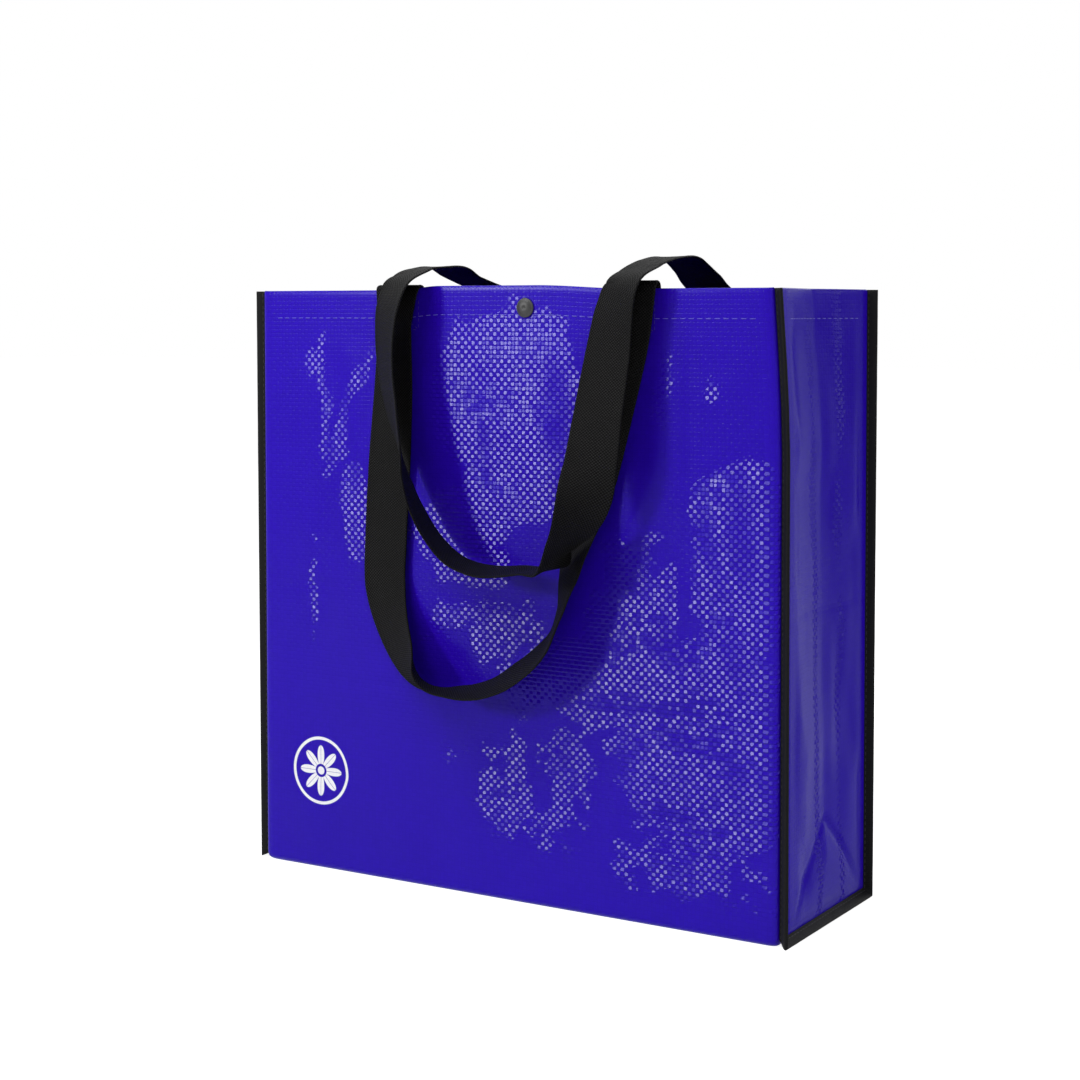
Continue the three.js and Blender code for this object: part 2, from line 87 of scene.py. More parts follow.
def unit(v):
    return v / np.maximum(np.linalg.norm(v, axis=-1, keepdims=True), 1e-12)


def walked_along(points):
    """Distance of each point of a line from its first one."""
    steps = np.linalg.norm(np.diff(points, axis=0), axis=1)
    return np.concatenate(((0,), np.cumsum(steps)))


def cloud(x, z, size, seed):
    """Soft random patches from 0 to 1, about this size across."""
    count = 97
    values = np.random.default_rng(seed).random((count, count))
    u = np.asarray(x) / size + 1000
    v = np.asarray(z) / size + 1000
    i, j = np.floor(u).astype(int), np.floor(v).astype(int)
    a, b = ease(u - i), ease(v - j)

    def at(p, q):
        return values[p % count, q % count]

    low = at(i, j) * (1 - a) + at(i + 1, j) * a
    high = at(i, j + 1) * (1 - a) + at(i + 1, j + 1) * a
    return low * (1 - b) + high * b


# The sewn seams

def seam_rise(side):
    """Height of a side panel's bottom seam, whose taped fin stands on the floor."""
    angle = math.radians(FIN_ANGLES[side]["bottom"])
    return TAPE_REACH * math.sin(angle) + TAPE_OUTER * math.cos(angle)


def seam_stations(side):
    """Corners of a sewn seam: where its fin starts, where it ends and the way across it."""
    sign = -1 if side == "left" else 1
    rise = seam_rise(side)
    fins = {}
    for name, edge in (("front", (0, -1, 0)), ("bottom", (0, 0, -1)), ("back", (0, 1, 0))):
        angle = math.radians(FIN_ANGLES[side][name])
        edge = np.array(edge, float)
        x = np.array((1.0, 0, 0))
        fins[name] = (
            math.cos(angle) * x + math.sin(angle) * edge,
            math.sin(angle) * x - math.cos(angle) * edge,
        )

    def straight(y, z, name):
        start = np.array((SEAM_X, y, z), float)
        return start, start + fins[name][0] * FIN_LENGTH, fins[name][1]

    def corner(y, z, name):
        start = np.array((SEAM_X, y, z), float)
        along, across = fins[name]
        below, below_across = fins["bottom"]
        tip = start + FIN_LENGTH * np.array(((along[0] + below[0]) / 2, along[1], below[2]))
        rows = np.array((across, below_across, tip - start))
        return start, tip, np.linalg.solve(rows, np.array((1.0, 1.0, 0.0)))

    stations = [
        straight(-SEAM_Y, BAG_HEIGHT, "front"),
        corner(-SEAM_Y, rise, "front"),
        corner(SEAM_Y, rise, "back"),
        straight(SEAM_Y, BAG_HEIGHT, "back"),
    ]
    return [np.array([one[k] for one in stations]) * (sign, 1, 1) for k in range(3)]


STATIONS = {"left": seam_stations("left"), "right": seam_stations("right")}


def seam_point(side, leg, along, out, across):
    """A point on a seam: its side number, how far along, how far out and how far across."""
    start, tip, step = STATIONS[side]
    along = np.asarray(along, float)[..., None]
    out = np.asarray(out, float)[..., None]
    across = np.asarray(across, float)[..., None]

    def mix(values):
        return values[leg] * (1 - along) + values[leg + 1] * along

    base = mix(start)
    return base + (mix(tip) - base) * out / FIN_LENGTH + mix(step) * across


def settle(points):
    """The standing bag's slack: the near top corner leans in, and the front's top edge bows up."""
    p = np.array(points, float)
    x, y, z = p[..., 0], p[..., 1], p[..., 2]
    lean = np.interp(z, (300, 330, 355, 400), (0, 0.9, 2.3, 5.4))
    near = ease((x - 118) / 76) * ease((62 - y) / 110)
    bow = ease((x + 82) / 32) * (1 - ease((x - 25) / 70)) * ease((z - 320) / 80) * ease((-20 - y) / 35)
    p[..., 0] = x - lean * near
    p[..., 2] = z + 2.6 * bow
    return p


# Meshes

def make_piece(name, points, faces, uv=None, gleam=None, slots=None):
    """A mesh from points in millimetres, with its place in its mesh."""
    mesh = bpy.data.meshes.new(name)
    mesh.from_pydata((np.asarray(points) * MM).tolist(), [], [list(map(int, f)) for f in faces])
    mesh.update()
    corners = np.zeros(len(mesh.loops), int)
    mesh.loops.foreach_get("vertex_index", corners)
    if uv is not None:
        layer = mesh.uv_layers.new(name="UVMap")
        layer.data.foreach_set("uv", np.asarray(uv, np.float32)[corners].ravel())
    if gleam is not None:
        layer = mesh.attributes.new("gleam", "FLOAT", "POINT")
        layer.data.foreach_set("value", np.asarray(gleam, np.float32))
    if slots is not None:
        mesh.polygons.foreach_set("material_index", np.asarray(slots, np.int32))
    mesh.polygons.foreach_set("use_smooth", np.ones(len(mesh.polygons), bool))
    mesh.update()
    piece = bpy.data.objects.new(name, mesh)
    bpy.context.scene.collection.objects.link(piece)
    return piece


def thick_sheet(grid, present):
    """A closed sheet round a grid of middle points; its first layer faces out of the bag."""
    rows, columns = grid.shape[:2]
    a, b, d, e = grid[:-1, :-1], grid[:-1, 1:], grid[1:, :-1], grid[1:, 1:]
    normals = unit(np.cross(e - a, d - b)) * present[..., None]
    corners = (slice(0, rows - 1), slice(1, rows)), (slice(0, columns - 1), slice(1, columns))
    total = np.zeros_like(grid)
    for i in corners[0]:
        for j in corners[1]:
            total[i, j] += normals
    total = unit(total)
    least = np.ones((rows, columns))
    for i in corners[0]:
        for j in corners[1]:
            cosine = np.where(present, np.sum(normals * total[i, j], axis=-1), 1)
            least[i, j] = np.minimum(least[i, j], cosine)
    push = total * (SHEET / 2 / np.clip(least, 0.45, 1))[..., None]
    if np.sum(total * (grid - np.array(BAG_MIDDLE, float))) < 0:
        push = -push
    number = np.arange(rows * columns).reshape(rows, columns)
    layer = rows * columns
    r, c = np.nonzero(present)
    quad = np.stack((number[r, c], number[r, c + 1], number[r + 1, c + 1], number[r + 1, c]), 1)
    outer, inner = quad, quad[:, ::-1] + layer
    padded = np.pad(present, 1)
    rims = []
    for (di, dj), (p, q) in (((-1, 0), (0, 1)), ((0, 1), (1, 2)), ((1, 0), (2, 3)), ((0, -1), (3, 0))):
        bare = ~padded[r + 1 + di, c + 1 + dj]
        edge = quad[bare]
        rims.append(np.stack((edge[:, q], edge[:, p], edge[:, p] + layer, edge[:, q] + layer), 1))
    rim = np.concatenate(rims)
    points = np.concatenate(((grid + push).reshape(-1, 3), (grid - push).reshape(-1, 3)))
    faces = np.concatenate((outer, rim, inner))
    slots = np.concatenate((np.zeros(len(outer) + len(rim), int), np.ones(len(inner), int)))
    volume = 0
    for k in (1, 2):
        t = points[faces[:, 0]], points[faces[:, k]], points[faces[:, k + 1]]
        volume += np.sum(t[0] * np.cross(t[1], t[2]))
    if volume < 0:
        faces = faces[:, ::-1]
    used = np.unique(faces)
    place = np.full(2 * layer, -1)
    place[used] = np.arange(len(used))
    return points[used], place[faces], slots, used % layer


def spread(low, high, step):
    return np.linspace(low, high, max(2, int(round((high - low) / step)) + 1))


# A panel stays full to its edge, overhangs the seam a little and turns in to it
ROLL_LENGTH = 14.5
ROLL_SHARES = spread(0, 1, 0.11)[1:-1]
FIN_STEPS = (0, 2.5, 5, 7.5, FIN_LENGTH)
HEM_TURNS = np.radians((30, 60, 90, 120, 150))


def across_columns(edge, seam, step):
    """Columns of a panel: fin, roll, flat middle, roll, fin, as kind, place, way out and share."""
    roll = [("roll", edge + (seam - edge) * s, 0.0, s) for s in ROLL_SHARES]
    fin = [("fin", seam, o, 1.0) for o in FIN_STEPS]
    half = roll + fin
    flat = [("flat", x, 0.0, 0.0) for x in spread(-edge, edge, step)]
    left = [(kind, -x, o, s) for kind, x, o, s in reversed(half)]
    return left + flat + half


def bezier(a, b, c, d, t):
    return a * (1 - t) ** 3 + 3 * b * t * (1 - t) ** 2 + 3 * c * t * t * (1 - t) + d * t ** 3


def overhang(angle, most, least):
    """The flatter a seam's fin lies, the further its panel may stand over it."""
    return least + (most - least) * (1 - min(max((angle - 6) / 39, 0), 1))


def along_sheet(edge, column, place, out, share):
    """Distance of a column from the panel's middle, measured along the sheet."""
    if column == "flat":
        return place
    return math.copysign(edge + share * ROLL_LENGTH + out, place)


def sheet_piece(name, grid, columns, hem, hem_share, across, along, gleam):
    """A panel's sheet, mapped so that one unit is one tape; its hem stops short of the seams."""
    inner = np.array([column[0] != "fin" and column[3] < hem_share for column in columns])
    present = ~(hem[:-1] | hem[1:])[:, None] | (inner[:-1] & inner[1:])[None, :]
    uv = np.stack(np.broadcast_arrays(across[None, :], along[:, None]), -1) / TAPE_PITCH
    points, faces, slots, source = thick_sheet(settle(grid), present)
    return make_piece(name, points, faces, uv.reshape(-1, 2)[source], gleam.ravel()[source], slots)


# How the panels bulge and crease

# Fold lines left from when the bag lay flat: heights, distances from the middle, depth
FOLD_HEIGHTS = ((66.5, 0.5, 2.6), (133, 0.4, 2.6), (200, 0.5, 2.8))
FOLD_SIDES = ((135, 0.4, 2.2), (-135, 0.3, 2.4))

# Soft swells and hollows of the front: middle, half sizes, turn in degrees, height
FRONT_SWELLS = (
    (20, 330, 30, 46, 24, 1.3),
    (-28, 300, 16, 44, 10, 1.1),
    (-60, 360, 16, 26, 0, -0.8),
    (62, 290, 22, 60, 14, -1.6),
    (-120, 345, 9, 50, 4, 1.0),
    (-104, 262, 16, 42, -8, 0.9),
    (168, 250, 20, 46, 12, 1.5),
    (118, 236, 16, 40, 8, -1.0),
    (112, 158, 66, 20, 6, 1.4),
    (70, 110, 20, 44, -12, -1.0),
    (134, 98, 44, 22, -6, 1.5),
    (136, 34, 52, 14, 0, 1.0),
    (-10, 120, 24, 52, 14, 0.9),
    (-62, 150, 30, 50, 0, -0.9),
    (-20, 184, 56, 9, -4, 0.7),
    (-130, 205, 7, 44, 0, 0.7),
    (-150, 110, 34, 60, 0, -0.8),
)

# Where the film lies tight over the tapes of the front, laid out like the photograph's bright
# fields: the same numbers, with how strongly the tapes stand out
FRONT_GLEAMS = (
    (22, 352, 42, 46, 14, 1.0),
    (-34, 332, 20, 44, 0, 0.8),
    (12, 296, 44, 54, 36, 1.0),
    (-30, 250, 48, 30, 24, 0.92),
    (-20, 218, 50, 14, 0, 0.6),
    (-146, 326, 6, 52, 3, 0.8),
    (-124, 318, 8, 52, -26, 0.7),
    (-157, 348, 6, 14, 0, 0.6),
    (-116, 256, 15, 42, 4, 0.66),
    (-152, 200, 4, 52, 0, 0.6),
    (170, 262, 32, 42, 20, 1.0),
    (168, 208, 36, 50, 0, 1.0),
    (108, 214, 40, 40, 30, 0.74),
    (82, 196, 26, 30, 10, 0.6),
    (112, 156, 104, 32, 4, 1.0),
    (138, 116, 72, 46, 0, 1.0),
    (142, 82, 62, 38, -10, 0.95),
    (136, 38, 66, 20, -4, 0.6),
    (24, 84, 74, 52, 0, 0.46),
    (-8, 178, 66, 22, 2, 0.5),
    (152, 338, 6, 16, 0, 0.62),
    (118, 334, 12, 24, 0, 0.44),
)


def ovals(x, z, shapes, join):
    """Soft turned ovals, each with its full height over its middle, joined into one field."""
    total = np.zeros_like(x)
    for middle_x, middle_z, half_x, half_z, turn, height in shapes:
        c, s = math.cos(math.radians(turn)), math.sin(math.radians(turn))
        u = ((x - middle_x) * c + (z - middle_z) * s) / half_x
        v = (-(x - middle_x) * s + (z - middle_z) * c) / half_z
        r = np.sqrt(u * u + v * v)
        total = join(total, height * (1 - ease((r - 0.5) / 0.9)))
    return total


def crease(distance, depth, width):
    return -depth * np.exp(-(distance / width) ** 2 / 2)


def panel_reach(x, z):
    """1 over the middle of a large panel, and 0 at its seams, hem and base fold."""
    return ease((186 - np.abs(x)) / 26) * ease((372 - z) / 30) * ease((z - 5) / 24)


def belly(x, z, most):
    return most * np.cos(np.pi * np.clip(x / 372, -0.5, 0.5)) * np.sin(np.pi * z / BAG_HEIGHT)


def front_relief(x, z):
    """How far the front stands out from its flat place."""
    swell = 0.5 * ovals(x, z, FRONT_SWELLS, np.add)
    small = (cloud(x, z, 26, 4) - 0.5) * 0.7 + (cloud(x + 40, z, 12, 5) - 0.5) * 0.25
    folds = sum(crease(z - h + 1.2 * np.sin(x / 37), d, w) for h, d, w in FOLD_HEIGHTS)
    folds += sum(crease(x - s + 0.8 * np.sin(z / 31), d, w) for s, d, w in FOLD_SIDES)
    folds *= 0.25 + 0.75 * ease((cloud(x, z, 33, 6) - 0.25) / 0.5)
    return (swell + small + folds) * panel_reach(x, z) + belly(x, z, 0.9)


def back_relief(x, z):
    swell = (cloud(x, z, 70, 11) - 0.5) * 4.2 + (cloud(x, z, 27, 12) - 0.5) * 1.3
    folds = sum(crease(z - h, d, w) for h, d, w in FOLD_HEIGHTS)
    folds += sum(crease(x - s, d, w) for s, d, w in FOLD_SIDES)
    return (swell + folds) * panel_reach(x, z) + belly(x, z, 1.5)


def front_gleam(x, z):
    """How tight the film lies over the front's tapes, from 0 to 1."""
    warp_x = x + (cloud(x, z, 17, 21) - 0.5) * 13
    warp_z = z + (cloud(x, z, 17, 22) - 0.5) * 20
    field = ovals(warp_x, warp_z, FRONT_GLEAMS, np.maximum)
    upright_fold = np.exp(-((x - 132) / 2.6) ** 2)
    field = field - 0.9 * upright_fold * ease((z - 180) / 12) * ease((262 - z) / 12)
    past_slant = ease((z - 282 - 0.5 * (x - 150)) / 7) * ease((x - 128) / 8) * ease((322 - z) / 8)
    field = field * (1 - 0.8 * past_slant)
    patches = (cloud(x, z, 7, 23) - 0.5) * 0.7 + (cloud(x, z / 2.5, 15, 24) - 0.5) * 0.55
    field = field * (1 - 0.6 * ease((z - 379) / 6))
    return ease((field + patches - 0.12) / 0.60) * np.clip(field * 1.5, 0, 1)


def back_gleam(x, z):
    return np.clip((cloud(x, z, 60, 31) - 0.5) * 4, 0, 1) * (0.5 + 0.6 * cloud(x, z, 9, 32))


# The body: front, base and back in one sheet

def body_rows():
    """Section of the body from the front hem's edge, round the base, to the back hem's edge."""
    flap_y = HALF_DEPTH - 2 * HEM_FOLD
    fold_top = BAG_HEIGHT - HEM_FOLD
    corner_reach = 3
    leg = BAG_HEIGHT - seam_rise("right")
    base = BAG_DEPTH - 2 * SEAM_INSET
    half = []
    for z in spread(BAG_HEIGHT - HEM_DEPTH, fold_top, 3.2):
        half.append(("hem", -flap_y, z, 0, 0.0))
    for angle in HEM_TURNS:
        y = -HALF_DEPTH + HEM_FOLD + HEM_FOLD * math.cos(angle)
        half.append(("hem", y, fold_top + HEM_FOLD * math.sin(angle), 0, 0.0))
    last = 1 - corner_reach / leg
    low = BASE_FOLD + SHEET / 2
    for z in spread(low, fold_top, 3.2)[::-1]:
        half.append(("front", -HALF_DEPTH, z, 0, (fold_top - z) / (fold_top - low) * last))
    for step in np.linspace(-1, 1, 9)[1:]:
        angle = math.radians(45 * (1 + step))
        y = -(HALF_DEPTH - BASE_FOLD + BASE_FOLD * math.cos(angle))
        z = BASE_FOLD - BASE_FOLD * math.sin(angle) + SHEET / 2
        if step <= 0:
            half.append(("corner", y, z, 0, 1 + step * corner_reach / leg))
        else:
            half.append(("corner", y, z, 1, step * corner_reach / base))
    start = corner_reach / base
    reach = HALF_DEPTH - BASE_FOLD
    middle = [
        ("base", y, SHEET / 2, 1, start + (y + reach) / (2 * reach) * (1 - 2 * start))
        for y in spread(-reach, reach, 3.4)[1:-1]
    ]
    back = []
    for kind, y, z, side, along in reversed(half):
        kind = "back" if kind == "front" else kind
        back.append((kind, -y, z, 2 if side == 0 else 1, 1 - along))
    return half + middle + back


def body_sheet():
    """The grid of section rows and columns across, with the seams, hems and relief."""
    rows = body_rows()
    edge_x = SEAM_X - ROLL_WIDTH
    columns = across_columns(edge_x, SEAM_X, 3.2)
    grid = np.zeros((len(rows), len(columns), 3))
    gleam = np.zeros((len(rows), len(columns)))
    for r, (kind, y, z, leg, along) in enumerate(rows):
        for c, (column, x, out, share) in enumerate(columns):
            if column == "flat":
                grid[r, c] = (x, y, z)
                continue
            side = "left" if x < 0 else "right"
            face = math.copysign(HALF_DEPTH, y)
            fold = (y - face, z - BAG_HEIGHT + HEM_FOLD) if kind == "hem" else (0, 0)
            y, z = y - fold[0], z - fold[1]
            if kind == "hem":
                leg, along = (0, 0.0) if y < 0 else (2, 1.0)
            seam = seam_point(side, leg, along, out, -SHEET_FROM_MIDDLE)
            if column == "roll":
                over = overhang(FIN_ANGLES[side][("front", "bottom", "back")[leg]], 4.1, 3.0)
                place = math.copysign(bezier(edge_x, SEAM_X - 1, SEAM_X + over, SEAM_X, share), x)
                turn = share ** 3
                seam = np.array((place, y + (seam[1] - y) * turn, z + (seam[2] - z) * turn))
            grid[r, c] = seam + (0, fold[0], fold[1])
            y, z = y + fold[0], z + fold[1]
    kinds = np.array([row[0] for row in rows])
    front, back = kinds == "front", kinds == "back"
    xs, zs = grid[..., 0], grid[..., 2]
    grid[front, :, 1] -= front_relief(xs[front], zs[front])
    grid[back, :, 1] += back_relief(xs[back], zs[back])
    gleam[front] = front_gleam(xs[front], zs[front])
    gleam[back] = back_gleam(xs[back], zs[back])

    # How far each row and column is along the sheet; a height on the front is its own number
    walked = walked_along(np.array([(row[1], row[2]) for row in rows]))
    top = int(np.argmax(front))
    along = rows[top][2] + walked[top] - walked
    across = np.array([along_sheet(edge_x, *column) for column in columns])
    return sheet_piece("carrier_body", grid, columns, kinds == "hem", 0.7, across, along, gleam)


# The side panels

def gusset_bulge(side, y, z):
    """How far a side panel stands in from its outer plane, towards the middle of the bag."""
    rise = seam_rise(side)
    up = (z - rise) / (BAG_HEIGHT - rise)
    depth = CREASE_AT_BASE + (CREASE_AT_TOP - CREASE_AT_BASE) * up
    ridge = np.sqrt((y / SEAM_Y) ** 2 + 0.0009) - 0.03
    valley = depth * (1 - ridge)
    bow = (1 - 2.2 * ridge) * ridge * 1.6
    corner_fold = np.abs(y) + z - 66.5 - 1.2 * np.sin(y / 9)
    folds = 1.5 * np.exp(-(corner_fold / 2.2) ** 2 / 2) * ease((z - 8) / 14)
    folds -= 1.8 * ease((-corner_fold) / 26) * ease((z - 8) / 14)
    folds += 0.4 * np.exp(-((z - 200 + 1.5 * np.sin(y / 14)) / 2) ** 2 / 2)
    seed = 41 if side == "right" else 42
    folds += (cloud(y, z, 38, seed) - 0.5) * 3.0 * ease((390 - z) / 40) * ease((z - 12) / 30)
    folds += (cloud(y, z / 3, 11, seed + 5) - 0.5) * 0.7
    reach = ease((SEAM_Y - ROLL_WIDTH - np.abs(y)) / 12) * ease((395 - z) / 16)
    return valley + (bow + folds) * reach


def gusset(side):
    """A side panel: rows from the bottom fin up to the hem, columns from front to back."""
    sign = -1 if side == "left" else 1
    rise = seam_rise(side)
    edge_y = SEAM_Y - ROLL_WIDTH
    edge_z = rise + ROLL_WIDTH
    fold_top = BAG_HEIGHT - HEM_FOLD
    rows = [("fin", rise, o, 1.0, 0.0) for o in reversed(FIN_STEPS)]
    for s in ROLL_SHARES[::-1]:
        over = overhang(FIN_ANGLES[side]["bottom"], 1.0, 2.6)
        rows.append(("roll", bezier(edge_z, rise + 1, rise - over, rise, s), 0, s, 0.0))
    rows += [("flat", z, 0, 0.0, 0.0) for z in spread(edge_z, fold_top, 2.6)]
    for angle in HEM_TURNS:
        z = fold_top + HEM_FOLD * math.sin(angle)
        rows.append(("hem", z, 0, 0.0, HEM_FOLD * (1 - math.cos(angle))))
    rows += [("hem", z, 0, 0.0, 2 * HEM_FOLD) for z in spread(BAG_HEIGHT - HEM_DEPTH, fold_top, 3)[::-1]]
    columns = across_columns(edge_y, SEAM_Y, 2.2)
    leg_length = BAG_HEIGHT - rise
    grid = np.zeros((len(rows), len(columns), 3))
    for r, (kind, z, out_z, share_z, hem) in enumerate(rows):
        for c, (column, y, out_y, share_y) in enumerate(columns):
            leg = 0 if y < 0 else 2
            if kind == "fin":
                along = min(max((y + SEAM_Y) / (2 * SEAM_Y), 0), 1)
                grid[r, c] = seam_point(side, 1, along, max(out_z, out_y), SHEET_FROM_MIDDLE)
            elif column == "fin":
                along = min(max((BAG_HEIGHT - z) / leg_length, 0), 1)
                along = along if leg == 0 else 1 - along
                grid[r, c] = seam_point(side, leg, along, out_y, SHEET_FROM_MIDDLE)
            else:
                roll = SEAM_INSET * max(share_z, share_y) ** 3
                bulge = float(gusset_bulge(side, y, min(z, fold_top)))
                inwards = (roll + bulge + math.sqrt((roll - bulge) ** 2 + 0.3)) / 2
                place = y
                if column == "roll":
                    angle = FIN_ANGLES[side]["front" if y < 0 else "back"]
                    over = 2.8 * max(angle - 12, -4) / 33
                    place = math.copysign(
                        bezier(edge_y, SEAM_Y - 1, SEAM_Y + over, SEAM_Y, share_y), y)
                grid[r, c] = (sign * (BAG_WIDTH / 2 - inwards - hem), place, z)
    z_at = np.array([
        edge_z - share * ROLL_LENGTH - o if kind in ("fin", "roll") else z
        for kind, z, o, share, _ in rows
    ])
    hem = np.array([row[0] == "hem" for row in rows])
    z_at[hem] = 2 * BAG_HEIGHT - z_at[hem]
    y_at = np.array([along_sheet(edge_y, *column) for column in columns])
    y, z = np.broadcast_arrays(y_at[None, :], z_at[:, None])
    seed = 51 if side == "right" else 53
    beside = np.exp(-((y + 12) / 5) ** 2) + 0.8 * np.exp(-((y - 24) / 7) ** 2)
    gleam = ease((cloud(y, z / 4, 9, seed) * 0.6 + 0.5 * beside - 0.42) / 0.4)
    return sheet_piece(f"side_panel_{side}", grid, columns, hem, 0.6, y_at, z_at, gleam)


# Strips that follow a line

def loft(rings):
    """Joins equal rings of points into one closed tube."""
    rings = np.asarray(rings)
    count, size = rings.shape[:2]
    number = np.arange(count * size).reshape(count, size)
    turned = np.roll(number, -1, axis=1)
    quads = np.stack((number[:-1], turned[:-1], turned[1:], number[1:]), -1).reshape(-1, 4)
    faces = quads.tolist()
    faces.append(number[0][::-1].tolist())
    faces.append(number[-1].tolist())
    points = rings.reshape(-1, 3)
    volume = 0
    for face in faces:
        for k in range(1, len(face) - 1):
            volume += np.dot(points[face[0]], np.cross(points[face[k]], points[face[k + 1]]))
    if volume < 0:
        faces = [face[::-1] for face in faces]
    return points, faces


# The folded tape's section: how far out and how far across
TAPE_SECTION_HALF = (
    (2.0, 1.22), (2.5, 1.31), (3.6, 1.28), (4.4, 1.15), (5.0, 1.1), (5.6, 1.15), (6.6, 1.28),
    (8.2, 1.33), (9.6, 1.28), (10.35, 1.02), (10.72, 0.55),
)
TAPE_STITCH_OUT = 5.0


def tape_section():
    outer = [(out, -across) for out, across in TAPE_SECTION_HALF]
    outer += [(TAPE_REACH, 0.0)]
    outer += [(out, across) for out, across in reversed(TAPE_SECTION_HALF)]
    inner = [(2.0, 0.82), (5.0, 0.72), (8.5, 0.82), (10.1, 0.5), (10.32, 0.0)]
    inner += [(out, -across) for out, across in reversed(inner[:-1])]
    return np.array(outer + inner)


# The way round the tape's outer face, from one edge to the other
TAPE_ROUND = float(walked_along(tape_section())[2 * len(TAPE_SECTION_HALF)])
LEG_LENGTHS = ((0, 393), (1, 122), (2, 393))


def seam_run(step):
    """Places along the three legs of a seam: the leg, and the share of its length."""
    places = []
    for leg, length in LEG_LENGTHS:
        count = int(round(length / step))
        places += [(leg, k / count) for k in range(count)]
    places.append((2, 1.0))
    return places


TAPE_STEP = 2.4


def binding(side):
    """The tape round a side panel's seam, with slightly uneven edges."""
    section = tape_section()
    out_at = section[:, 0]
    seed = 61 if side == "left" else 62
    rings = []
    for k, (leg, along) in enumerate(seam_run(TAPE_STEP)):
        wave = (cloud(k * TAPE_STEP, 0, 16, seed) - 0.5) * 0.5
        edge = (cloud(k * TAPE_STEP, 50, 9, seed) - 0.5) * 0.22
        out = out_at + np.where(out_at < 3, wave, 0) + np.where(out_at > 9.5, edge * 0.5, 0)
        out = np.minimum(out, TAPE_REACH)
        rings.append(seam_point(side, leg, np.full(len(section), along), out, section[:, 1]))
    rings = settle(np.array(rings))
    round_and_along = np.broadcast_arrays(walked_along(section)[None, :], walked_along(rings[:, 0])[:, None])
    points, faces = loft(rings)
    return make_piece(f"edge_tape_{side}", points, faces, np.stack(round_and_along, -1).reshape(-1, 2))


# The webbing handles

# Stations of a handle: a place, and the way its width points there

def outside(*rows):
    """In front of the bag: across, how far out from the front, how far below the top."""
    return [((x, -HALF_DEPTH - out, BAG_HEIGHT - drop), wide) for x, out, drop, *wide in rows]


def over_mouth(*rows):
    """Over the open top: across, the share of the depth from front to back, how far above it."""
    return [((x, (share - 0.5) * BAG_DEPTH, BAG_HEIGHT + lift), wide) for x, share, lift, *wide in rows]


FRONT_LEFT_END = -80
FRONT_RIGHT_END = 97
BACK_LEFT_END = -84
BACK_RIGHT_END = 90
SEWN_INSET = 2 * HEM_FOLD + SHEET / 2 + CLEARANCE + STRAP_THICKNESS / 2


def sewn_end(x, panel, wide):
    y = panel * (HALF_DEPTH - SEWN_INSET)
    return [((x, y, BAG_HEIGHT - STRAP_SEWN * share), (wide, 0, 0)) for share in (1, 0.6, 0.3)]


def over_the_edge(x, wide, hump):
    return outside(
        (x, -SEWN_INSET, 0, wide, 0, 0),
        (x, -SEWN_INSET * 0.65, -hump * 0.7, wide, 0, 0),
        (x, HEM_FOLD, -hump, wide, 0, 0),
        (x, HEM_FOLD + 2.6, -hump * 0.5, wide, 0, 0),
    )


FRONT_HANDLE = [
    *sewn_end(FRONT_LEFT_END, -1, -1),
    *over_the_edge(FRONT_LEFT_END, -1, 3),
    *outside(
        (-80, 7, 23, -0.95, 0.3, 0),
        (-82, 6.4, 67, -0.99, 0.15, 0),
        (-86.5, 4.5, 114, -1, 0.03, -0.03),
        (-89.5, 4.5, 161.5, -1, 0.03, -0.05),
        (-90, 5, 197.5, -0.99, 0.06, -0.09),
        (-82, 8, 223, -0.93, 0.29, -0.21),
        (-70, 11.7, 242.5, -0.85, 0.47, -0.22),
        (-55, 16.6, 255, -0.71, 0.69, -0.16),
        (-40, 19.6, 260, -0.54, 0.84, -0.04),
        (-22.5, 20, 260.5, -0.33, 0.94, 0.03),
        (-1.5, 20, 257, -0.19, 0.95, 0.23),
        (17, 19, 248, -0.11, 0.88, 0.46),
        (34, 18.2, 235.5, -0.16, 0.86, 0.49),
        (45, 17.6, 223.5, -0.34, 0.86, 0.34),
        (51.5, 15.6, 205.5, -0.52, 0.85, 0.1),
        (55.5, 15.4, 189.5, -0.66, 0.75, 0.1),
        (58.5, 13.6, 177.5, -0.75, 0.65, 0.12),
        (59.5, 11.6, 165, -0.85, 0.5, 0.15),
        (61.5, 8.8, 150.5, -0.94, 0.3, 0.18),
        (65, 6.8, 136.5, -0.98, 0.12, 0.18),
        (71, 4.6, 115.5, -0.98, 0.03, 0.18),
        (82, 4, 73, -0.99, 0, 0.15),
        (92.5, 4, 30, -1, 0, 0.08),
    ),
    *reversed(over_the_edge(FRONT_RIGHT_END, -1, 4.6)),
    *reversed(sewn_end(FRONT_RIGHT_END, -1, -1)),
]

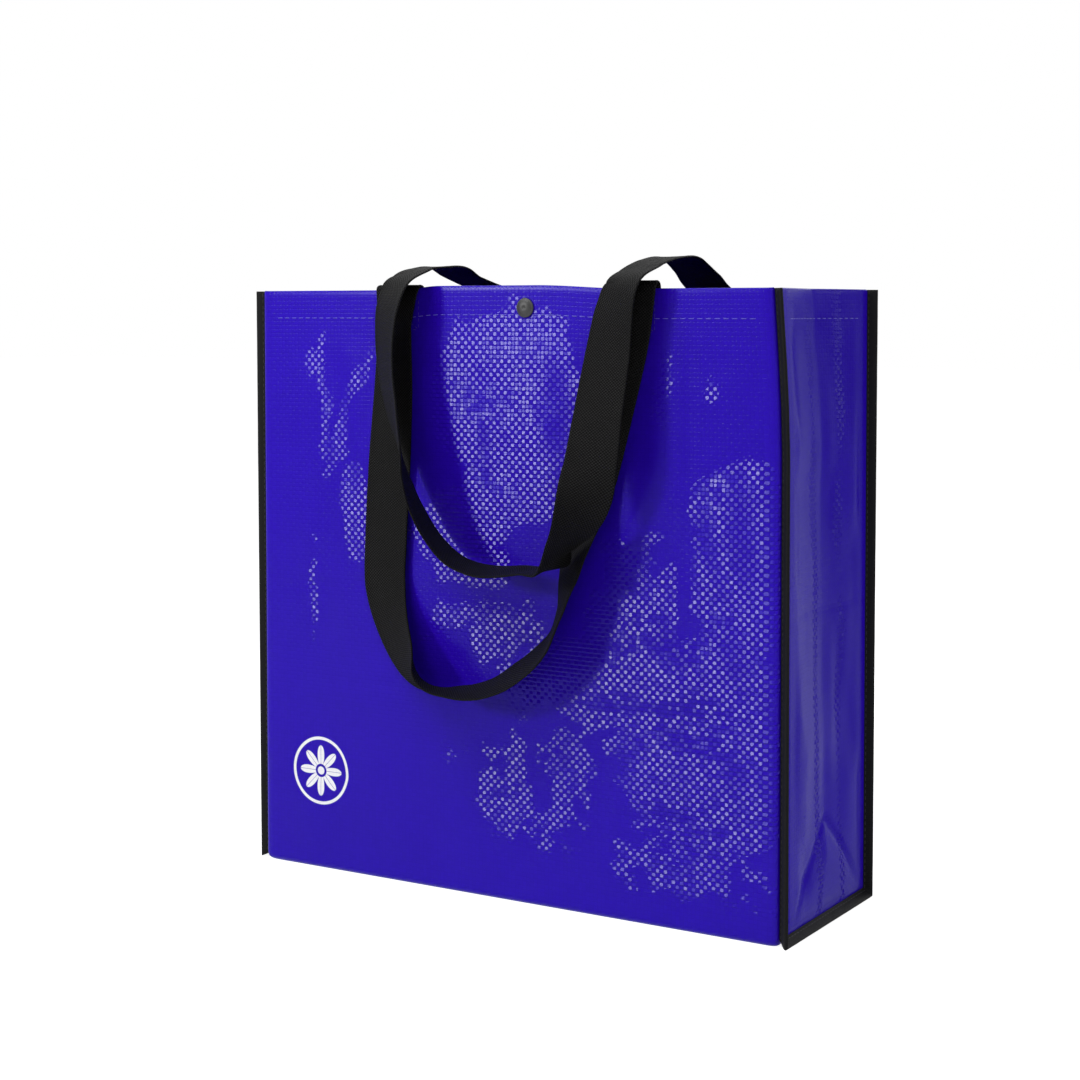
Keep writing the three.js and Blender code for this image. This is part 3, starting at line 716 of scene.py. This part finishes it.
BACK_HANDLE = [
    *sewn_end(BACK_LEFT_END, 1, -1),
    *over_mouth(
        (-84, 0.973, -5.3, -1, 0.02, 0),
        (-84.2, 0.943, -1.3, -1, 0.05, 0),
        (-84.6, 0.88, 2, -1, 0.1, 0),
        (-85.8, 0.76, 6, -0.98, 0.18, 0),
        (-85, 0.61, 10.5, -0.96, 0.28, 0),
        (-80, 0.43, 15.5, -0.93, 0.36, 0),
        (-74.5, 0.23, 15.5, -0.88, 0.47, 0),
    ),
    *outside(
        (-72.5, -3, -11.6, -0.86, 0.51, 0),
        (-74.8, 12.5, -4, -0.86, 0.51, 0.06),
        (-78, 18.6, 11.5, -0.86, 0.51, 0.03),
        (-80, 19.2, 30, -0.82, 0.57, -0.02),
        (-78.5, 20, 53, -0.78, 0.63, -0.03),
        (-73.5, 21, 76.5, -0.73, 0.68, -0.05),
        (-65.5, 22.7, 103, -0.62, 0.78, 0.08),
        (-59, 24.4, 123.5, -0.47, 0.88, 0.08),
        (-50, 25.5, 143, -0.33, 0.94, -0.03),
        (-38, 24, 161.5, -0.26, 0.96, -0.05),
        (-22.5, 22.2, 175, -0.2, 0.98, 0),
        (-1, 21, 180.5, -0.18, 0.97, 0.08),
        (20, 21.4, 179.5, -0.1, 0.97, 0.09),
        (40.5, 25.5, 177.5, 0, 1, 0),
        (55, 32, 174, -0.03, 1, 0),
        (61, 35.5, 167.5, -0.07, 1, 0),
        (66, 36.5, 160, 0.09, 1, -0.04),
        (73.5, 36.5, 149, 0.37, 0.92, -0.08),
        (79.5, 34.5, 133.5, 0.71, 0.69, -0.12),
        (83, 31, 110, 0.98, 0.17, -0.13),
        (85.5, 25.7, 77.5, 0.99, -0.04, -0.12),
        (88.5, 19, 41, 0.98, -0.15, -0.1),
        (92.5, 16, 9.5, 0.93, -0.36, -0.03),
        (96.5, 13, -4, 0.89, -0.46, 0),
        (98, -6.5, -13, 0.88, -0.48, 0),
    ),
    *over_mouth(
        (98.5, 0.245, 19, 0.89, -0.46, 0),
        (97, 0.46, 20, 0.91, -0.42, 0),
        (95.5, 0.665, 11.5, 0.95, -0.3, 0),
        (92.5, 0.8, 4.5, 0.99, -0.16, 0),
        (90.8, 0.9, -0.2, 1, -0.08, 0),
        (90.3, 0.95, -2.6, 1, -0.04, 0),
        (90, 0.974, -5.6, 1, 0, 0),
    ),
    *reversed(sewn_end(BACK_RIGHT_END, 1, 1)),
]


def smooth_line(points, step):
    """A centripetal curve through points; gives places, directions and the station they are at."""
    p = np.array(points, float)
    p = np.concatenate(([2 * p[0] - p[1]], p, [2 * p[-1] - p[-2]]))
    places, directions, at = [], [], []
    for k in range(1, len(p) - 2):
        a, b, c, d = p[k - 1:k + 3]
        t = [max(np.linalg.norm(q - r) ** 0.5, 1e-6) for q, r in ((b, a), (c, b), (d, c))]
        leave = ((b - a) / t[0] - (c - a) / (t[0] + t[1]) + (c - b) / t[1]) * t[1]
        reach = ((c - b) / t[1] - (d - b) / (t[1] + t[2]) + (d - c) / t[2]) * t[1]
        count = max(2, int(math.ceil(np.linalg.norm(c - b) / step)))
        last = k == len(p) - 3
        for w in np.linspace(0, 1, count + 1)[: None if last else -1]:
            bend, twist = -3 * b + 3 * c - 2 * leave - reach, 2 * b - 2 * c + leave + reach
            places.append(b + leave * w + bend * w * w + twist * w ** 3)
            directions.append(leave + 2 * bend * w + 3 * twist * w * w)
            at.append(k - 1 + w)
    return np.array(places), unit(np.array(directions)), np.array(at)


STRAP_STEP = 2.2


def handle_frame(stations):
    """Centre, width, thickness and distance along the webbing."""
    centres, tangents, at = smooth_line([one[0] for one in stations], STRAP_STEP)
    wide = np.array([one[1] for one in stations], float)
    k = np.minimum(at.astype(int), len(wide) - 2)
    w = (at - k)[:, None]
    wide = wide[k] * (1 - w) + wide[k + 1] * w
    wide = unit(wide - np.sum(wide * tangents, axis=1, keepdims=True) * tangents)
    thick = np.cross(tangents, wide)
    return centres, wide, thick, walked_along(centres)


# The webbing's section: share of the half width and of the half thickness
STRAP_SECTION = (
    (-1.0, 0.0), (-0.985, 0.62), (-0.95, 0.92), (-0.88, 1.0), (-0.86, 0.86), (-0.6, 0.9), (-0.3, 0.94),
    (0.0, 0.96), (0.3, 0.94), (0.6, 0.9), (0.86, 0.86), (0.88, 1.0), (0.95, 0.92), (0.985, 0.62), (1.0, 0.0),
)


# Adds to the map on the webbing's other face, so that its yarns don't mirror the first face's
OTHER_FACE = 60


def strap(name, stations):
    centres, wide, thick, walked = handle_frame(stations)
    top = list(STRAP_SECTION)
    section = np.array(top + [(w, -t) for w, t in reversed(top[1:-1])])
    width = section[:, 0] * STRAP_WIDTH / 2
    depth = section[:, 1] * STRAP_THICKNESS / 2
    rings = centres[:, None] + wide[:, None] * width[None, :, None] + thick[:, None] * depth[None, :, None]
    side = np.where(section[:, 1] >= 0, 0, OTHER_FACE)
    uv = np.stack(np.broadcast_arrays((width + side)[None, :], walked[:, None]), -1)
    points, faces = loft(rings)
    return make_piece(name, points, faces, uv.reshape(-1, 2))


# Stitching

# A stitch's length, the gap to the next one and its radius
HEM_STITCH = (4.2, 1.7, 0.27)
TAPE_STITCH = (2.9, 1.3, 0.2)
BOX_STITCH = (3.0, 0.9, 0.28)
STITCH_SIDES = 6

# Rings of a stitch: share of its length, lift and width, both in radii
STITCH_RINGS = ((0, -0.9, 0.7), (0.16, 0.15, 1), (0.5, 0.45, 1.05), (0.84, 0.15, 1), (1, -0.9, 0.7))


class Thread:
    """Collects stitches of one piece of thread."""

    def __init__(self, name):
        self.name, self.points, self.faces = name, [], []

    def stitch(self, start, end, out, radius):
        start, end, out = (np.array(v, float) for v in (start, end, out))
        along = end - start
        length = np.linalg.norm(along)
        along = along / length
        out = unit(out - np.dot(out, along) * along)
        aside = np.cross(along, out)
        first, sides = len(self.points), STITCH_SIDES
        for share, lift, size in STITCH_RINGS:
            middle = start + along * length * share + out * radius * lift
            for k in range(sides):
                turn = 2 * math.pi * k / sides
                away = math.cos(turn) * out * 0.75 + math.sin(turn) * aside
                self.points.append(middle + radius * size * away)
        last = len(STITCH_RINGS) - 1
        for ring in range(last):
            for k in range(sides):
                a, b = first + ring * sides + k, first + ring * sides + (k + 1) % sides
                self.faces.append((a, b, b + sides, a + sides))
        self.faces.append(tuple(first + k for k in reversed(range(sides))))
        self.faces.append(tuple(first + last * sides + k for k in range(sides)))

    def row(self, points, outs, length, gap, radius):
        """Stitches along a line, as sewn: pressed in between one and the next."""
        points, outs = np.asarray(points, float), np.asarray(outs, float)
        walked = walked_along(points)

        def at(s, values):
            return np.array([np.interp(s, walked, values[:, k]) for k in range(3)])

        s = gap
        while s + length < walked[-1]:
            self.stitch(at(s, points), at(s + length, points), at(s + length / 2, outs), radius)
            s += length + gap

    def box(self, corners, out):
        """A sewn rectangle with its two diagonals."""
        a, b, c, d = (np.array(p, float) for p in corners)
        for one, two in ((a, b), (b, c), (c, d), (d, a), (a, c), (b, d)):
            self.row([one, two], [out, out], *BOX_STITCH)

    def finish(self):
        return make_piece(self.name, np.array(self.points), self.faces)


# Turned snap pieces

TURNED_SIDES = 48
SHARP = math.radians(35)


def turned(name, profile, panel, offset):
    """A round piece from radius and height pairs, extruded and scaled step by step."""
    bpy.ops.object.select_all(action="DESELECT")
    radius, height = profile[0]
    bpy.ops.mesh.primitive_circle_add(
        vertices=TURNED_SIDES, radius=radius * MM, fill_type="NGON", location=(0, 0, height * MM)
    )
    piece = bpy.context.object
    bpy.ops.object.transform_apply(location=True)
    bpy.ops.object.mode_set(mode="EDIT")
    bpy.ops.mesh.select_mode(type="FACE")
    bpy.ops.mesh.select_all(action="SELECT")
    for next_radius, next_height in profile[1:]:
        bpy.ops.mesh.extrude_region_move(
            TRANSFORM_OT_translate={"value": (0, 0, (next_height - height) * MM)}
        )
        share = next_radius / radius
        bpy.ops.transform.resize(value=(share, share, 1), center_override=(0, 0, next_height * MM))
        radius, height = next_radius, next_height
    bpy.ops.mesh.select_all(action="SELECT")
    bpy.ops.mesh.remove_doubles(threshold=1e-7)
    bpy.ops.mesh.normals_make_consistent(inside=False)
    bpy.ops.object.mode_set(mode="OBJECT")
    piece.name = name
    piece.rotation_euler = (math.radians(90 if panel < 0 else -90), 0, 0)
    piece.location = (
        SNAP_X * MM, panel * (HALF_DEPTH + offset) * MM, (BAG_HEIGHT - SNAP_BELOW_TOP) * MM
    )
    bpy.ops.object.transform_apply(location=True, rotation=True, scale=True)
    bevel = piece.modifiers.new("soft edges", "BEVEL")
    bevel.width = 0.12 * MM
    bevel.segments = 2
    bevel.limit_method = "ANGLE"
    bevel.angle_limit = SHARP
    bpy.ops.object.modifier_apply(modifier=bevel.name)
    bpy.ops.object.shade_smooth_by_angle(angle=SHARP)
    return piece


SOCKET_BORE = 1.5
STUD_BORE = 1.1
OUTER_FACE = SHEET / 2 + CLEARANCE
INNER_FACE = 2 * HEM_FOLD + SHEET / 2 + CLEARANCE


def snap_cap(name, panel, bore):
    """A rimmed cap; its shank goes through panel and hem into the inner piece's bore."""
    shank = OUTER_FACE + INNER_FACE + bore - CLEARANCE
    r, h = SNAP_CAP_RADIUS, SNAP_CAP_HEIGHT
    return turned(name, [
        (SNAP_SHANK_RADIUS, -shank), (SNAP_SHANK_RADIUS, -0.05), (r - 0.5, 0.0), (r - 0.1, 0.25),
        (r, 0.62), (r - 0.25, 1.02), (r - 0.62, 1.2), (r - 0.85, 1.18), (r - 1.05, 1.22),
        (r - 1.7, 1.62), (r - 2.7, 1.92), (r - 4.0, h - 0.06), (1.1, h), (0.95, h - 0.22), (0.2, h - 0.26),
    ], panel, OUTER_FACE)


# Materials

def operation(name):
    """A method that adds one Math node."""
    return lambda self, *others: self.maths(name, self, *others)


class Number:
    """A number that differs from place to place on a surface."""

    def __init__(self, nodes, socket):
        self.nodes, self.socket = nodes, socket

    def maths(self, name, *values):
        return self.nodes.number("ShaderNodeMath", {"operation": name}, dict(enumerate(values)))

    __add__ = __radd__ = operation("ADD")
    __mul__ = __rmul__ = operation("MULTIPLY")
    __sub__ = operation("SUBTRACT")
    __abs__ = operation("ABSOLUTE")
    sin = operation("SINE")
    cos = operation("COSINE")
    floor = operation("FLOOR")
    root = operation("SQRT")
    above = operation("MAXIMUM")
    below = operation("MINIMUM")

    def __rsub__(self, other):
        return self.maths("SUBTRACT", other, self)

    def __neg__(self):
        return self.maths("MULTIPLY", self, -1.0)

    def rise(self, low, high):
        """From 0 at low to 1 at high, smoothly."""
        settings = {"interpolation_type": "SMOOTHSTEP"}
        inputs = {"Value": self, "From Min": low, "From Max": high}
        return self.nodes.number("ShaderNodeMapRange", settings, inputs)


class Nodes:
    """One node tree."""

    def __init__(self, tree):
        self.tree = tree

    def node(self, kind, settings=None, inputs=None):
        node = self.tree.nodes.new(kind)
        for key, value in (settings or {}).items():
            setattr(node, key, value)
        for key, value in (inputs or {}).items():
            self.give(node.inputs[key], value)
        return node

    def give(self, socket, value):
        """A link into a socket, or a constant on it."""
        value = value.socket if isinstance(value, Number) else value
        if isinstance(value, bpy.types.NodeSocket):
            self.tree.links.new(value, socket)
        else:
            socket.default_value = value

    def number(self, kind, settings=None, inputs=None, output=0):
        return Number(self, self.node(kind, settings, inputs).outputs[output])

    def seen_directly(self):
        """1 for camera, glossy and transmission rays, and 0 for the light that falls on things."""
        path = self.node("ShaderNodeLightPath").outputs
        kinds = ("Is Camera Ray", "Is Glossy Ray", "Is Transmission Ray")
        camera_ray, glossy_ray, through_ray = (Number(self, path[kind]) for kind in kinds)
        return camera_ray.above(glossy_ray).above(through_ray)


class Finish(Nodes):
    """One material; what is the same all over is set on the shader's own sockets."""

    def __init__(self, name, **constants):
        self.material = bpy.data.materials.new(name)
        self.material.use_nodes = True
        super().__init__(self.material.node_tree)
        self.surface = self.tree.nodes["Principled BSDF"]
        for key, value in constants.items():
            self.surface.inputs[key.replace("_", " ")].default_value = value

    def feed(self, name, value):
        self.give(self.surface.inputs[name], value)

    def mix(self, share, first, second):
        """Colours between first and second; constants are given as four numbers."""
        node = self.node("ShaderNodeMix", {"data_type": "RGBA"}, {0: share, 6: first, 7: second})
        return node.outputs[2]

    def parts(self, vector):
        found = self.node("ShaderNodeSeparateXYZ", None, {0: vector}).outputs
        return [Number(self, one) for one in found]

    def flat_place(self):
        """The two numbers of the piece's own map."""
        return self.parts(self.node("ShaderNodeUVMap", {"uv_map": "UVMap"}).outputs[0])[:2]

    def object_place(self):
        return self.node("ShaderNodeTexCoord").outputs["Object"]

    def own(self, name):
        return self.number("ShaderNodeAttribute", {"attribute_name": name}, None, "Fac")

    def noise(self, scale, detail):
        place = {"Vector": self.object_place(), "Scale": scale, "Detail": detail}
        return self.number("ShaderNodeTexNoise", None, place)

    def flat_noise(self, u, v, detail=2.0):
        place = self.node("ShaderNodeCombineXYZ", None, {0: u, 1: v}).outputs[0]
        return self.number("ShaderNodeTexNoise", None, {"Vector": place, "Scale": 1.0, "Detail": detail})

    def chance(self, u, v):
        """One random number for each cell."""
        place = self.node("ShaderNodeCombineXYZ", None, {0: u, 1: v}).outputs[0]
        return self.number("ShaderNodeTexWhiteNoise", {"noise_dimensions": "2D"}, {"Vector": place})

    def bump(self, height):
        """Height is in millimetres."""
        node = self.node("ShaderNodeBump", None, {"Height": height, "Distance": MM, "Strength": 1.0})
        self.feed("Normal", node.outputs[0])


BLUE = (0.024, 0.0025, 0.47, 1)
DEEP_BLUE = (0.013, 0.0008, 0.27, 1)
WHITE_INK = (0.95, 0.95, 0.96, 1)
PRINT_X = -148.8
PRINT_Z = 68.6

# Slopes of the tapes' tops: at the floor, how much less for each metre up, and for each metre aside
LEAN_UP = 0.41
LEAN_UP_LESS = 0.74
LEAN_ASIDE = 0.55


def print_ink(finish, u, v):
    """A ring round an eight-petal flower: 1 where there is ink."""
    x = u * TAPE_PITCH - PRINT_X
    z = v * TAPE_PITCH - PRINT_Z
    away = (x * x + z * z).root()
    turn = finish.number("ShaderNodeMath", {"operation": "ARCTAN2"}, {0: z, 1: x})
    ring = away.rise(21.2, 21.7) * (1 - away.rise(23.3, 23.8))
    petal_edge = 5.0 + 12.5 * abs((turn * 4.0).cos())
    flower = (1 - (away - petal_edge).rise(-0.4, 0.4)) * away.rise(4.4, 4.9)
    vein = (abs(away * (turn * 4.0 + math.pi / 2).cos()) - 0.6).rise(-0.2, 0.2)
    middle = 1 - away.rise(2.6, 3.1)
    return ring.above(flower * (0.25 + 0.75 * vein)).above(middle)


def laminated_weave(name, gloss, printed=False, outer=True):
    """Woven blue tapes under a glossy film."""
    finish = Finish(name, Specular_IOR_Level=gloss, IOR=1.5)
    u, v = finish.flat_place()
    cell_u, cell_v = (u + 0.5).floor(), (v + 0.5).floor()
    luck = finish.chance(cell_u, cell_v)
    gleam = finish.own("gleam")
    # Every second crossing has the upright tape on top. Its flat top leans by a slope that changes
    # over the panel, chosen so that the key lamp shines off it towards the photograph's camera.
    crossing = (u * math.pi).cos() * (v * math.pi).cos()
    upright = crossing.rise(0.02, 0.30)
    lying = (-crossing).rise(0.10, 0.42)
    x, _, z = finish.parts(finish.object_place())
    lean_up = LEAN_UP - LEAN_UP_LESS * z
    lean_aside = LEAN_ASIDE * x
    tilt = TAPE_PITCH * (lean_aside * (u - cell_u) - lean_up * (v - cell_v))
    shows = (gleam + 0.5 * luck).rise(0.24, 0.72)
    strength = gleam.rise(0.05, 0.62) * shows * (0.86 + 0.36 * luck) if outer else gleam * 0.2
    tight = gleam.rise(0.72, 1.0)
    tension = finish.noise(38.0, 2.0)
    fibre = finish.flat_noise(u * 14.0, v * 1.6, 1.0)
    standing = 0.05 + 0.06 * gleam if outer else 0.08
    over = upright * (standing + strength * tilt)
    under = lying * (0.03 + tight * (0.18 + 0.55 * luck) * tilt)
    height = over + under + 0.008 * fibre + 0.06 * tension
    finish.bump(height)
    # seen is 1 on the tapes and 0 in the grooves between them; it darkens the colour and the print there as
    # painted shade in the grooves.
    groove_u = abs((u * math.pi).cos()).rise(0.0, 0.32)
    groove_v = abs((v * math.pi).cos()).rise(0.0, 0.32)
    seen = groove_u.below(groove_v)
    patches = finish.noise(9.0, 3.0)
    tone = (0.72 + 0.28 * seen) * (0.6 + 0.5 * patches) * (0.86 + 0.16 * luck) * (0.9 + 0.2 * fibre)
    colour = finish.mix(tone, DEEP_BLUE, BLUE)
    roughness = 0.185 - 0.03 * gleam + 0.05 * patches
    if printed:
        colour = finish.mix(print_ink(finish, u, v) * (0.93 + 0.07 * seen), colour, WHITE_INK)
    finish.feed("Base Color", colour)
    finish.feed("Roughness", roughness if outer else roughness + 0.2)
    return finish.material


def webbing_finish():
    """Black webbing: rows of small raised loops, with a denser selvedge."""
    finish = Finish("black_webbing", Specular_IOR_Level=0.055, IOR=1.5)
    u, v = finish.flat_place()
    loops = ((u * (math.pi / 1.15)).sin() * (v * (math.pi / 0.95)).sin()).rise(-0.5, 0.8)
    rows = abs((v * (math.pi / 1.9)).sin())
    strand = finish.flat_noise(u * 3.0, v * 5.0)
    finish.bump(0.26 * loops + 0.10 * rows + 0.06 * strand)
    lit = finish.noise(60.0, 3.0)
    tone = loops * (0.4 + 0.8 * strand) * (0.6 + 0.6 * lit)
    colour = finish.mix(tone, (0.0010, 0.0010, 0.0010, 1), (0.023, 0.023, 0.0235, 1))
    finish.feed("Base Color", colour)
    finish.feed("Roughness", 0.60 - 0.14 * loops + 0.1 * lit)
    return finish.material


# Width of the painted highlight along each of the tape's edges
TAPE_EDGE_HIGHLIGHT = 1.7


def tape_finish():
    """Black binding tape with a fine cross rib and a painted highlight along its sewn edges."""
    finish = Finish("black_tape", Specular_IOR_Level=0.07, IOR=1.5)
    u, v = finish.flat_place()
    rib = ((v * (math.pi / 0.6)).sin() * (u * (math.pi / 1.2)).cos()).rise(-0.4, 0.8)
    strand = finish.flat_noise(u * 2.0, v * 5.0)
    finish.bump(0.08 * rib + 0.05 * strand)
    patches = finish.noise(30.0, 3.0)
    tone = rib * 0.6 + 0.4 * patches
    dark = finish.mix(tone, (0.0025, 0.0025, 0.003, 1), (0.013, 0.013, 0.014, 1))
    # The tape's two edges are made lighter in the colour: a painted highlight where they catch the light.
    edge_highlight = (1 - u.rise(TAPE_EDGE_HIGHLIGHT - 0.6, TAPE_EDGE_HIGHLIGHT)).above(
        (u - TAPE_ROUND).rise(-TAPE_EDGE_HIGHLIGHT, 0.6 - TAPE_EDGE_HIGHLIGHT) * (1 - (u - TAPE_ROUND).rise(0.3, 0.5)))
    finish.feed("Base Color", finish.mix(edge_highlight * (0.5 + 0.5 * patches), dark, (0.05, 0.05, 0.05, 1)))
    finish.feed("Roughness", 0.46 + 0.18 * patches)
    return finish.material


def thread_finish(name, low, high):
    finish = Finish(name, Specular_IOR_Level=0.35, IOR=1.5, Roughness=0.55)
    twist = finish.noise(900.0, 1.0)
    finish.feed("Base Color", finish.mix(twist, low, high))
    return finish.material


def snap_finish():
    """Moulded black plastic, faintly uneven."""
    finish = Finish("black_snap_plastic", Specular_IOR_Level=0.5, IOR=1.5)
    grain = finish.noise(1400.0, 2.0)
    haze = finish.noise(240.0, 2.0)
    finish.bump(0.012 * grain)
    finish.feed("Base Color", finish.mix(haze, (0.006, 0.006, 0.0065, 1), (0.016, 0.016, 0.017, 1)))
    finish.feed("Roughness", 0.34 + 0.16 * haze)
    return finish.material


# Put together

def keep(piece, slot, *nodes, materials):
    for material in materials:
        piece.data.materials.append(material)
    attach(piece, "root")
    if nodes:
        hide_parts(*nodes)
    return piece


weave_front = laminated_weave("blue_laminated_weave", 0.09, printed=True)
weave_plain = laminated_weave("blue_laminated_weave_side", 0.024)
weave_inside = laminated_weave("blue_weave_inside", 0.05, outer=False)
webbing = webbing_finish()
black_tape = tape_finish()
dark_thread = thread_finish("black_thread", (0.008, 0.008, 0.009, 1), (0.03, 0.03, 0.033, 1))
# The hem thread's blue is lighter than the sheet's: partly the thread's own colour, partly a painted glint.
blue_thread = thread_finish("blue_thread", (0.05, 0.035, 0.40, 1), (0.15, 0.13, 0.62, 1))
deep_thread = thread_finish("deep_blue_thread", (0.012, 0.002, 0.22, 1), (0.03, 0.006, 0.36, 1))
snap_black = snap_finish()

body = keep(body_sheet(), "sheet", "body_sheet", materials=(weave_front, weave_inside))

for side in ("left", "right"):
    panel = keep(gusset(side), "sheet", f"gusset_{side}", materials=(weave_plain, weave_inside))
    keep(binding(side), "tape", f"binding_{side}", materials=(black_tape,))

keep(strap("handle_front", FRONT_HANDLE), "webbing", "front_handle", materials=(webbing,))
keep(strap("handle_back", BACK_HANDLE), "webbing", "back_handle", materials=(webbing,))

keep(snap_cap("snap_cap_turned_front", -1, SOCKET_BORE), "snap", "snap_cap_front", materials=(snap_black,))
keep(snap_cap("snap_cap_turned_back", 1, STUD_BORE), "snap", "snap_cap_back", materials=(snap_black,))
for node in ("snap_socket", "snap_stud"):
    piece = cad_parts[node]
    piece.data.materials.clear()
    piece.data.materials.append(snap_black)

# Hem stitching on both faces of the large panels and on the side panels' outer faces
hem_row = Thread("hem_stitching")
HEM_ROW_Z = 381.5
ROW_INSET = 10


def sew_hem(x, y, out):
    line = settle(np.stack(np.broadcast_arrays(x, y, HEM_ROW_Z), 1))
    hem_row.row(line, np.tile(out, (len(line), 1)), *HEM_STITCH)


for sign, relief in ((-1, front_relief), (1, back_relief)):
    x = spread(-SEAM_X + ROW_INSET, SEAM_X - ROW_INSET, 2)
    sew_hem(x, sign * (HALF_DEPTH + SHEET / 2 + relief(x, np.full_like(x, HEM_ROW_Z))), (0, sign, 0))
    sew_hem(x, sign * (HALF_DEPTH - 2 * HEM_FOLD - SHEET / 2), (0, -sign, 0))
for side, sign in (("left", -1), ("right", 1)):
    y = spread(-SEAM_Y + ROW_INSET, SEAM_Y - ROW_INSET, 2)
    bulge = gusset_bulge(side, y, np.full_like(y, HEM_ROW_Z))
    sew_hem(sign * (BAG_WIDTH / 2 - bulge + SHEET / 2), y, (sign, 0, 0))
keep(hem_row.finish(), "sheet", materials=(blue_thread,))

# The tape's stitching, on both of its faces
tape_row = Thread("tape_stitching")
for side in ("left", "right"):
    places = seam_run(2.0)
    for face in (-1, 1):
        line, beyond = (
            np.array([seam_point(side, leg, a, TAPE_STITCH_OUT, face * across) for leg, a in places])
            for across in (1.1, 2.1)
        )
        tape_row.row(settle(line), beyond - line, *TAPE_STITCH)
keep(tape_row.finish(), "tape", materials=(dark_thread,))

# Boxes sewn through the handles' ends and the hem: seen inside on the webbing, outside on the sheet
box_inside, box_outside = Thread("handle_stitching_inside"), Thread("handle_stitching_outside")
BOX_LOW, BOX_HIGH = BAG_HEIGHT - STRAP_SEWN + 3, BAG_HEIGHT - 6
BOX_HALF = STRAP_WIDTH / 2 - 3
WEBBING_FACE = HALF_DEPTH - SEWN_INSET - STRAP_THICKNESS / 2 * 0.94
for middle, sign in ((FRONT_LEFT_END, -1), (FRONT_RIGHT_END, -1), (BACK_LEFT_END, 1), (BACK_RIGHT_END, 1)):
    left, right = middle - BOX_HALF, middle + BOX_HALF
    for thread, y, out in (
        (box_inside, sign * WEBBING_FACE, -sign),
        (box_outside, sign * (HALF_DEPTH + SHEET / 2), sign),
    ):
        corners = [(left, y, BOX_LOW), (right, y, BOX_LOW), (right, y, BOX_HIGH), (left, y, BOX_HIGH)]
        thread.box(settle(np.array(corners)), (0, out, 0))
keep(box_inside.finish(), "webbing", materials=(dark_thread,))
keep(box_outside.finish(), "sheet", materials=(deep_thread,))


# Floor, light and camera

WHITE = (1, 1, 1, 1)
FLOOR_GLOW = 0.9
AIR_LIGHT = 0.16


def floor_finish():
    finish = Finish("white_floor", Base_Color=(0.82, 0.82, 0.82, 1), Roughness=0.9, Specular_IOR_Level=0.0)
    strength = finish.seen_directly() * FLOOR_GLOW
    light = finish.node("ShaderNodeEmission", None, {"Color": WHITE, "Strength": strength})
    both = finish.node("ShaderNodeAddShader", None, {0: finish.surface.outputs[0], 1: light.outputs[0]})
    finish.give(finish.tree.nodes["Material Output"].inputs["Surface"], both.outputs[0])
    return finish.material


bpy.ops.object.select_all(action="DESELECT")
bpy.ops.mesh.primitive_plane_add(size=24, location=(0, 0, 0))
floor = bpy.context.object
floor.name = "studio_floor"
floor.data.materials.append(floor_finish())

world = bpy.data.worlds.new("studio_air")
bpy.context.scene.world = world
world.use_nodes = True
air = Nodes(world.node_tree)
sky = air.tree.nodes["Background"].inputs
air.give(sky["Color"], WHITE)
air.give(sky["Strength"], AIR_LIGHT + (1 - AIR_LIGHT) * air.seen_directly())


def soft_box(name, place, target, size, power):
    """A rectangular lamp that shines towards a target."""
    data = bpy.data.lights.new(name, "AREA")
    data.shape = "RECTANGLE"
    data.size, data.size_y = size
    data.energy = power
    lamp = bpy.data.objects.new(name, data)
    lamp.location = place
    away = np.array(place) - np.array(target)
    flat = math.hypot(away[0], away[1])
    lamp.rotation_euler = (math.atan2(flat, away[2]), 0, math.atan2(away[0], -away[1]))
    bpy.context.scene.collection.objects.link(lamp)


soft_box("key_box", (-1.10, -1.72, 0.80), (0, 0, 0.2), (0.25, 0.25), 13)
soft_box("front_box", (-0.34, -0.66, 1.28), (0, 0, 0.3), (0.7, 0.5), 8.5)
soft_box("right_box", (0.95, -1.05, 1.10), (0.1, 0, 0.3), (0.8, 0.8), 5.5)
soft_box("side_box", (1.7, 1.1, 0.9), (0.2, 0, 0.2), (0.6, 0.8), 7.5)
soft_box("back_box", (0.3, 1.9, 1.3), (0, 0, 0.2), (0.9, 0.9), 8)

camera_data = bpy.data.cameras.new("camera")
camera = bpy.data.objects.new("camera", camera_data)
bpy.context.scene.collection.objects.link(camera)
camera.location = (0.7020, -1.1782, 0.3852)
camera.rotation_euler = (math.radians(90 - 2.758), 0, math.radians(31.21))
camera_data.sensor_width = 36
camera_data.lens = 67.66
camera_data.shift_y = -0.12
camera_data.clip_start = 0.01
bpy.context.scene.camera = camera

bpy.context.scene.view_settings.view_transform = "Standard"
